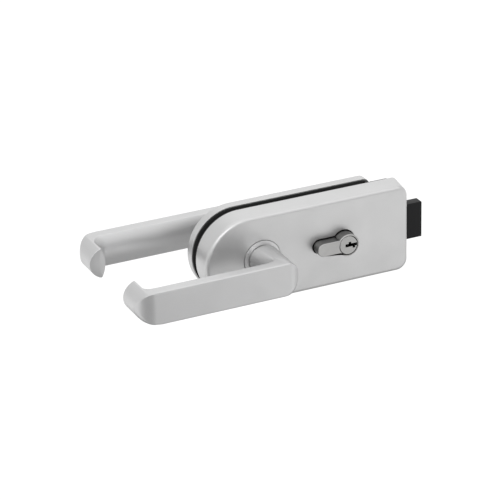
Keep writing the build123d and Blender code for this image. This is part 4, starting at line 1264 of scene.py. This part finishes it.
def step_ring(bore, lip, centre_x):
    """Joins two loops round the plug's axis whose columns lie at different angles.

    Each step goes on along the loop whose next point comes first, so each quad has a doubled
    corner and is a triangle.
    """
    inner_angle = np.unwrap(np.arctan2(bore[:, 2], bore[:, 0] - centre_x))
    outer_angle = np.unwrap(np.arctan2(lip[:, 2], lip[:, 0] - centre_x))
    start = nearest(inner_angle, outer_angle[0])
    inner = np.roll(bore, -start, axis=0)
    inner_angle = np.unwrap(np.roll(inner_angle, -start))
    circle = 2 * math.pi
    inner_angle += circle * round((outer_angle[0] - inner_angle[0]) / circle)
    ends = [np.append(angle[1:], angle[0] + circle) for angle in (inner_angle, outer_angle)]
    from_inner = np.argsort(np.concatenate(ends), kind="stable") < len(inner)
    inner_at = np.cumsum(from_inner) - from_inner
    outer_at = np.cumsum(~from_inner) - ~from_inner
    return bands(inner[inner_at % len(inner)], lip[outer_at % len(lip)])


class LOCKSET_OT_cylinder_housing(Operator):
    """Builds the profile cylinder's housing, with its plug bore and the gap for its cam"""

    bl_idname = "lockset.cylinder_housing"
    bl_label = "Cylinder housing"

    def execute(self, context):
        s = context.scene.lockset_lock
        counts = (28, 12, 88, 12)
        curve = pear_curve(s, 0.0, counts)
        inset = pear_curve(s, -s.edge, counts)
        # The columns nearest to where the cam's sweep crosses the web's sides are moved there.
        half_sweep = math.asin(s.web_half / s.cam_sweep)
        cross_x = s.reach - s.cam_sweep * math.cos(half_sweep)
        low = nearest_point(curve, cross_x, -s.web_half)
        high = nearest_point(curve, cross_x, s.web_half)
        curve[[low, high], 0] = inset[[low, high], 0] = cross_x
        front_y, back_y = BODY_LOW[1], BODY_HIGH[1]
        gap = s.cam_gap
        foot = np.concatenate([curve[high:], curve[:low + 1]])
        centre = (s.reach, 0.0)
        sweep = np.linspace(math.pi + half_sweep, math.pi - half_sweep, 17)
        wall = arc(centre, s.cam_sweep, sweep)
        wall[0], wall[-1] = curve[low], curve[high]
        back_loop = np.concatenate([wall[::-1][:-1], curve[low:high]])
        start = math.atan2(curve[0, 1], curve[0, 0] - s.reach)
        even = np.linspace(start, start + 2 * math.pi, len(curve) + 1)[:-1]
        lip = arc(centre, s.lip_bore, even)
        # The bore's columns follow the loop at the cam's gap; the step at the lip joins them
        # to the lip's even ones.
        bore = arc(centre, s.plug_bore, np.arctan2(back_loop[:, 1], back_loop[:, 0] - s.reach))
        step_y = front_y + 2 * s.lip_depth
        sheets = [
            bands(
                in_space(lip, front_y + s.lip_depth),
                in_space(lip, front_y + s.lip_break),
                in_space(arc(centre, s.lip_bore + s.lip_break, even), front_y),
                in_space(inset, front_y),
                in_space(curve, front_y + s.edge),
            ),
            tube(curve, front_y + s.edge, *HOUSING_ROWS, -gap),
            sheet(np.stack([in_space(foot, y) for y in (-gap, 0.0, gap)])),
            sheet(np.stack([in_space(wall, y) for y in (-gap, 0.0, gap)])),
            tube(curve, gap, back_y),
            pole(in_space(curve, back_y)),
            bands(in_space(back_loop, -gap), in_space(bore, -gap)),
            pole(in_space(back_loop, gap)),
            tube(bore, -gap, step_y),
            step_ring(in_space(bore, step_y), in_space(lip, front_y + s.lip_depth), s.reach),
        ]
        make_piece("Cylinder_housing", sheets, "cylinder_body", "nickel", nickel())
        return {"FINISHED"}


class LOCKSET_OT_cylinder_plug(Operator):
    """Builds the turning plug with its lip, its warded keyway and its tail"""

    bl_idname = "lockset.cylinder_plug"
    bl_label = "Cylinder plug"

    def execute(self, context):
        s = context.scene.lockset_lock
        h, w, d = s.key_half, s.ward_width, s.ward_depth
        low = w + h

        def mouth(radius):
            """Where the keyway's sides reach a circle about the plug's axis."""
            return math.sqrt(radius**2 - h**2)

        # Corners of the keyway with the angle on the rim that each is joined to
        mouth_angle = math.degrees(math.asin(h / s.plug_radius))
        corners = np.array(
            [
                (mouth(s.plug_radius), h, mouth_angle),
                (w, h, 35), (w, h + d, 52), (0, h + d, 92), (0, h, 118),
                (-s.key_start, h, 150), (-s.key_start, -h, 210),
                (low, -h, 278), (low, -h - d, 290), (low + w, -h - d, 318), (low + w, -h, 334),
                (mouth(s.plug_radius), -h, 360 - mouth_angle),
            ]
        )
        # Steps from each corner to the next
        counts = [8, 4, 10, 6, 8, 14, 16, 4, 8, 4, 6]
        knots = np.cumsum([0] + counts)
        x, z, degrees = (np.interp(np.arange(knots[-1] + 1), knots, part) for part in corners.T)
        slot = np.pad(pair(x, z), ((1, 1), (0, 0)), mode="edge")
        angle = np.radians(degrees)
        first, last = (angle[0] + angle[1]) / 2, (angle[-2] + angle[-1]) / 2
        angle = np.concatenate([angle[:1], [first], angle[1:-1], [last], angle[-1:]])
        spread = (angle - angle[0]) / (angle[-1] - angle[0])

        def rim(radius):
            """Points on a circle from one side of the keyway's mouth round to the other."""
            start = math.asin(h / radius)
            return arc((0.0, 0.0), radius, start + spread * (2 * math.pi - 2 * start))

        def opened(radius):
            """The keyway's outline with the mouth's two points on a circle."""
            made = slot.copy()
            made[[0, -1], 0] = mouth(radius)
            return made

        def rows(*outlines):
            """Outlines about the plug's axis, each with its level along Y, put in space."""
            return np.stack([in_space(flat + np.array([s.reach, 0.0]), y) for flat, y in outlines])

        small, front, back = s.lip_edge, PLUG_LOW[1], PLUG_HIGH[1]
        lip_back, floor, tail = front + s.lip_depth, front + s.key_depth, -s.cam_gap
        plug_rim, lip_rim = rim(s.plug_radius), rim(s.lip_radius)
        tail_rim = s.tail_radius / s.plug_radius * plug_rim
        lip_slot = opened(s.lip_radius)
        sheets = [
            sheet(
                rows(
                    (lip_slot, lip_back), (lip_slot, front + small),
                    (opened(s.lip_radius - small), front), (rim(s.lip_radius - small), front),
                    (lip_rim, front + small), (lip_rim, lip_back),
                )
            ),
            sheet(rows((lip_rim, lip_back), (plug_rim, lip_back), (plug_rim, floor))),
            sheet(rows((slot, lip_back), (slot, floor))),
            pole(rows((slot, floor))[0]),
            bands(*rows((plug_rim, floor), (plug_rim, tail), (tail_rim, tail), (tail_rim, back))),
            pole(rows((tail_rim, back))[0]),
        ]
        make_piece("Cylinder_core", sheets, "cylinder_plug", "nickel", turned_nickel())
        return {"FINISHED"}


class LOCKSET_OT_bolt(Operator):
    """Builds the black bolt: a rounded rectangle carried along X to a rounded nose"""

    bl_idname = "lockset.bolt"
    bl_label = "Bolt"

    def execute(self, context):
        s = context.scene.lockset_lock
        low, high = np.array([BOLT_LOW[1:], BOLT_HIGH[1:]])
        centre, half = (low + high) / 2, (high - low) / 2
        turn = np.linspace(0, QUARTER, 6)
        way = arc((0.0, 0.0), 1.0, (np.arange(4)[:, None] * QUARTER + turn).ravel())
        sides = np.repeat(np.array([(1, 1), (-1, 1), (-1, -1), (1, -1)]), len(turn), axis=0)
        # Place along X and inset of each row
        rows = [(BOLT_LOW[0], 0.0), (BOLT_ROW, 0.0)]
        rows += [
            (BOLT_HIGH[0] - s.bolt_nose * (1 - math.sin(t)), s.bolt_nose * (1 - math.cos(t)))
            for t in turn
        ]

        def loop(x, inset):
            """The rounded rectangle at a place along X, smaller by an inset."""
            radius = max(s.bolt_edge - inset, SMALLEST_ROUND)
            flat = centre + sides * (half - inset - radius) + radius * way
            return np.column_stack([np.full(len(flat), x), flat])

        grid = np.stack([loop(x, inset) for x, inset in rows])
        sheets = [sheet(grid, around=True), pole(grid[0]), pole(grid[-1])]
        make_piece("Bolt_head", sheets, "latch_bolt", "black_plastic", black_plastic())
        return {"FINISHED"}


# Carried parts and the stage

CARRIED = {
    zinc_steel: (
        "bolt_rivets", "clamp_screws", "cylinder_cam", "cylinder_screw", "follower",
        "front_base_plate", "front_cover_screws", "guide_screws", "latch_slide",
        "rear_clamp_plate", "rear_cover_screws", "spindle",
    ),
    dark_steel: ("front_lever_screw", "rear_lever_screw"),
    spring_steel: ("cylinder_clip", "follower_spring", "latch_spring", "pin_springs"),
    brass: ("driver_pins", "key_pins", "pin_caps"),
    black_plastic: ("bolt_guide", "follower_bush", "rear_bush"),
    white_plastic: ("glass_sleeves",),
    black_rubber: ("front_gasket", "rear_gasket"),
}


class LOCKSET_OT_carried_parts(Operator):
    """Gives the parts that keep their shape their finishes"""

    bl_idname = "lockset.carried_parts"
    bl_label = "Carried parts"

    def execute(self, context):
        for make_finish, names in CARRIED.items():
            made = make_finish()
            for name in names:
                for place in frame["nodes"][name].material_slots:
                    place.material = made
        return {"FINISHED"}


def turned_to(place, axes):
    """Matrix that puts an object at a place with its own axes along three directions."""
    return Matrix.Translation(place) @ Matrix(np.stack(axes, axis=1).tolist()).to_4x4()


def area_light(name, place, aim, size, power):
    """A soft rectangular light at a place, turned towards a point."""
    data = bpy.data.lights.new(name, "AREA")
    data.shape = "RECTANGLE"
    data.size, data.size_y = size
    data.energy = power
    back = np.array(place) - np.array(aim)
    back /= np.linalg.norm(back)
    side = np.cross([0.0, 0.0, 1.0], back)
    side /= np.linalg.norm(side)
    in_scene(name, data).matrix_world = turned_to(place, [side, np.cross(back, side), back])


def card(name, corner, across, up, dark, light, start, end):
    """A studio card that only shows in reflections: its glow rises from dark to light along X."""
    steps = np.linspace(0, 1, 3)
    u, v = np.meshgrid(steps, steps, indexing="ij")
    grid = np.array(corner) + u[..., None] * np.array(across) + v[..., None] * np.array(up)
    points, quads = sheet(grid)
    glow, shader = material(
        name,
        {"Base Color": (0, 0, 0, 1), "Specular IOR Level": 0.0, "Emission Strength": 1.0},
    )
    tree = glow.node_tree
    place = add(tree, "ShaderNodeTexCoord")
    parts = add(tree, "ShaderNodeSeparateXYZ")
    level = add(
        tree, "ShaderNodeMapRange",
        {"From Min": start, "From Max": end, "To Min": dark, "To Max": light},
        interpolation_type="SMOOTHSTEP",
    )
    link(
        tree, (place, "Object", parts, 0), (parts, "X", level, "Value"),
        (level, "Result", shader, "Emission Color"),
    )
    glow.cycles.emission_sampling = "NONE"
    made = in_scene(name, new_mesh(name, points, quads, glow))
    made.visible_camera = False
    made.visible_diffuse = False
    made.visible_shadow = False
    made.visible_transmission = False


class LOCKSET_OT_stage(Operator):
    """Sets up the pale floor, the soft light and the camera"""

    bl_idname = "lockset.stage"
    bl_label = "Stage"

    def execute(self, context):
        scene = context.scene
        s = scene.lockset_stage
        scene.view_settings.view_transform = "Standard"
        world = bpy.data.worlds.new("Studio")
        world.use_nodes = True
        sky = world.node_tree.nodes["Background"].inputs
        sky["Color"].default_value = (1, 1, 1, 1)
        sky["Strength"].default_value = s.world_light
        scene.world = world

        floor_z = FRONT_LOW[2] - s.floor_drop
        reach = np.linspace(-FLOOR_HALF, FLOOR_HALF, 25)
        x, y = np.meshgrid(reach, reach, indexing="ij")
        points, quads = sheet(np.stack([x, y, np.full_like(x, floor_z)], axis=-1))
        pale, _ = material(
            "Pale floor",
            {
                "Base Color": (0.86, 0.86, 0.86, 1), "Roughness": 0.9, "Specular IOR Level": 0.0,
                "Emission Color": (1, 1, 1, 1), "Emission Strength": 0.2,
            },
        )
        floor = in_scene("Floor", new_mesh("Floor", points, quads[:, ::-1], pale))

        # Name, place, point aimed at, size and power
        for light in (
            ("Overhead light", (0.2, 0.7, 1.5), (0.2, 0.5, floor_z), (2.0, 1.6), 3.0),
            ("Back right light", (0.97, 1.85, 0.99), (0.0, 0.0, 0.0), (2.2, 1.4), 2.2),
            ("Front left light", (-1.0, -2.0, 1.15), (0.0, 0.0, 0.0), (2.6, 1.8), 8.0),
        ):
            area_light(*light)

        # Name, corner, first side, second side, and the glow's two levels and where it rises
        low = floor_z + CARD_LIFT
        for values in (
            ("Upper front card", (-0.3, -0.9, 0.9), (1.4, 0, 0), (0, 0.75, 0), 1.35, 1.35, -0.3, 1.1),
            ("Front left card", (-0.95, -1.35, 0.4), (0.95, -0.15, 0), (0, 0, 0.65), 2.6, 2.6, -1, 0),
            ("Front floor card", (-2.5, -2.5, low), (5, 0, 0), (0, 2.22, 0), 0.48, 1.12, -0.12, 0.36),
            ("Under card", (-0.35, -0.28, low), (1, 0, 0), (0, 0.6, 0), 0.5, 0.6, 0, 0.6),
            ("Front wall card", (-2.5, -2.5, low), (5, 0, 0), (0, 0, 0.6), 0.3, 0.5, -2, 2),
        ):
            card(*values)

        turn, rise = -s.azimuth, s.elevation
        back = np.array(
            [-math.sin(turn) * math.cos(rise), -math.cos(turn) * math.cos(rise), math.sin(rise)]
        )
        right = np.array([math.cos(turn), -math.sin(turn), 0.0])
        up = np.cross(back, right)
        side = right * math.cos(s.roll) + up * math.sin(s.roll)
        top = -right * math.sin(s.roll) + up * math.cos(s.roll)
        place = side * -s.aim_right + top * s.aim_down + back * s.distance
        data = bpy.data.cameras.new("Camera")
        data.lens = s.focal_length
        data.sensor_width = 36.0
        data.clip_end = 20.0
        camera = in_scene("Camera", data)
        camera.matrix_world = turned_to(place, [side, top, back])
        scene.camera = camera
        return {"FINISHED"}


class VIEW3D_PT_lockset(Panel):
    """Lists the lockset's pieces and settings"""

    bl_label = "Glass door lockset"
    bl_idname = "VIEW3D_PT_lockset"
    bl_space_type = "VIEW_3D"
    bl_region_type = "UI"
    bl_category = "Lockset"

    def draw(self, context):
        layout = self.layout
        for operator in OPERATORS:
            layout.operator(operator.bl_idname)
        for name, group in SETTINGS.items():
            box = layout.box()
            box.label(text=group.__doc__)
            settings = getattr(context.scene, name)
            for key in group.__annotations__:
                box.prop(settings, key)


OPERATORS = (
    LOCKSET_OT_front_shell,
    LOCKSET_OT_rear_shell,
    LOCKSET_OT_levers,
    LOCKSET_OT_collars,
    LOCKSET_OT_cylinder_housing,
    LOCKSET_OT_cylinder_plug,
    LOCKSET_OT_bolt,
    LOCKSET_OT_carried_parts,
    LOCKSET_OT_stage,
)


def register():
    """Registers the settings, operators and panel."""
    for name, group in SETTINGS.items():
        bpy.utils.register_class(group)
        setattr(bpy.types.Scene, name, PointerProperty(type=group))
    for operator in OPERATORS:
        bpy.utils.register_class(operator)
    bpy.utils.register_class(VIEW3D_PT_lockset)


def unregister():
    """Removes the settings, operators and panel."""
    bpy.utils.unregister_class(VIEW3D_PT_lockset)
    for operator in reversed(OPERATORS):
        bpy.utils.unregister_class(operator)
    for name, group in reversed(SETTINGS.items()):
        delattr(bpy.types.Scene, name)
        bpy.utils.unregister_class(group)


def main():
    """Builds every piece and the stage."""
    register()
    for operator in OPERATORS:
        group, name = operator.bl_idname.split(".")
        getattr(getattr(bpy.ops, group), name)()


if __name__ == "__main__":
    main()
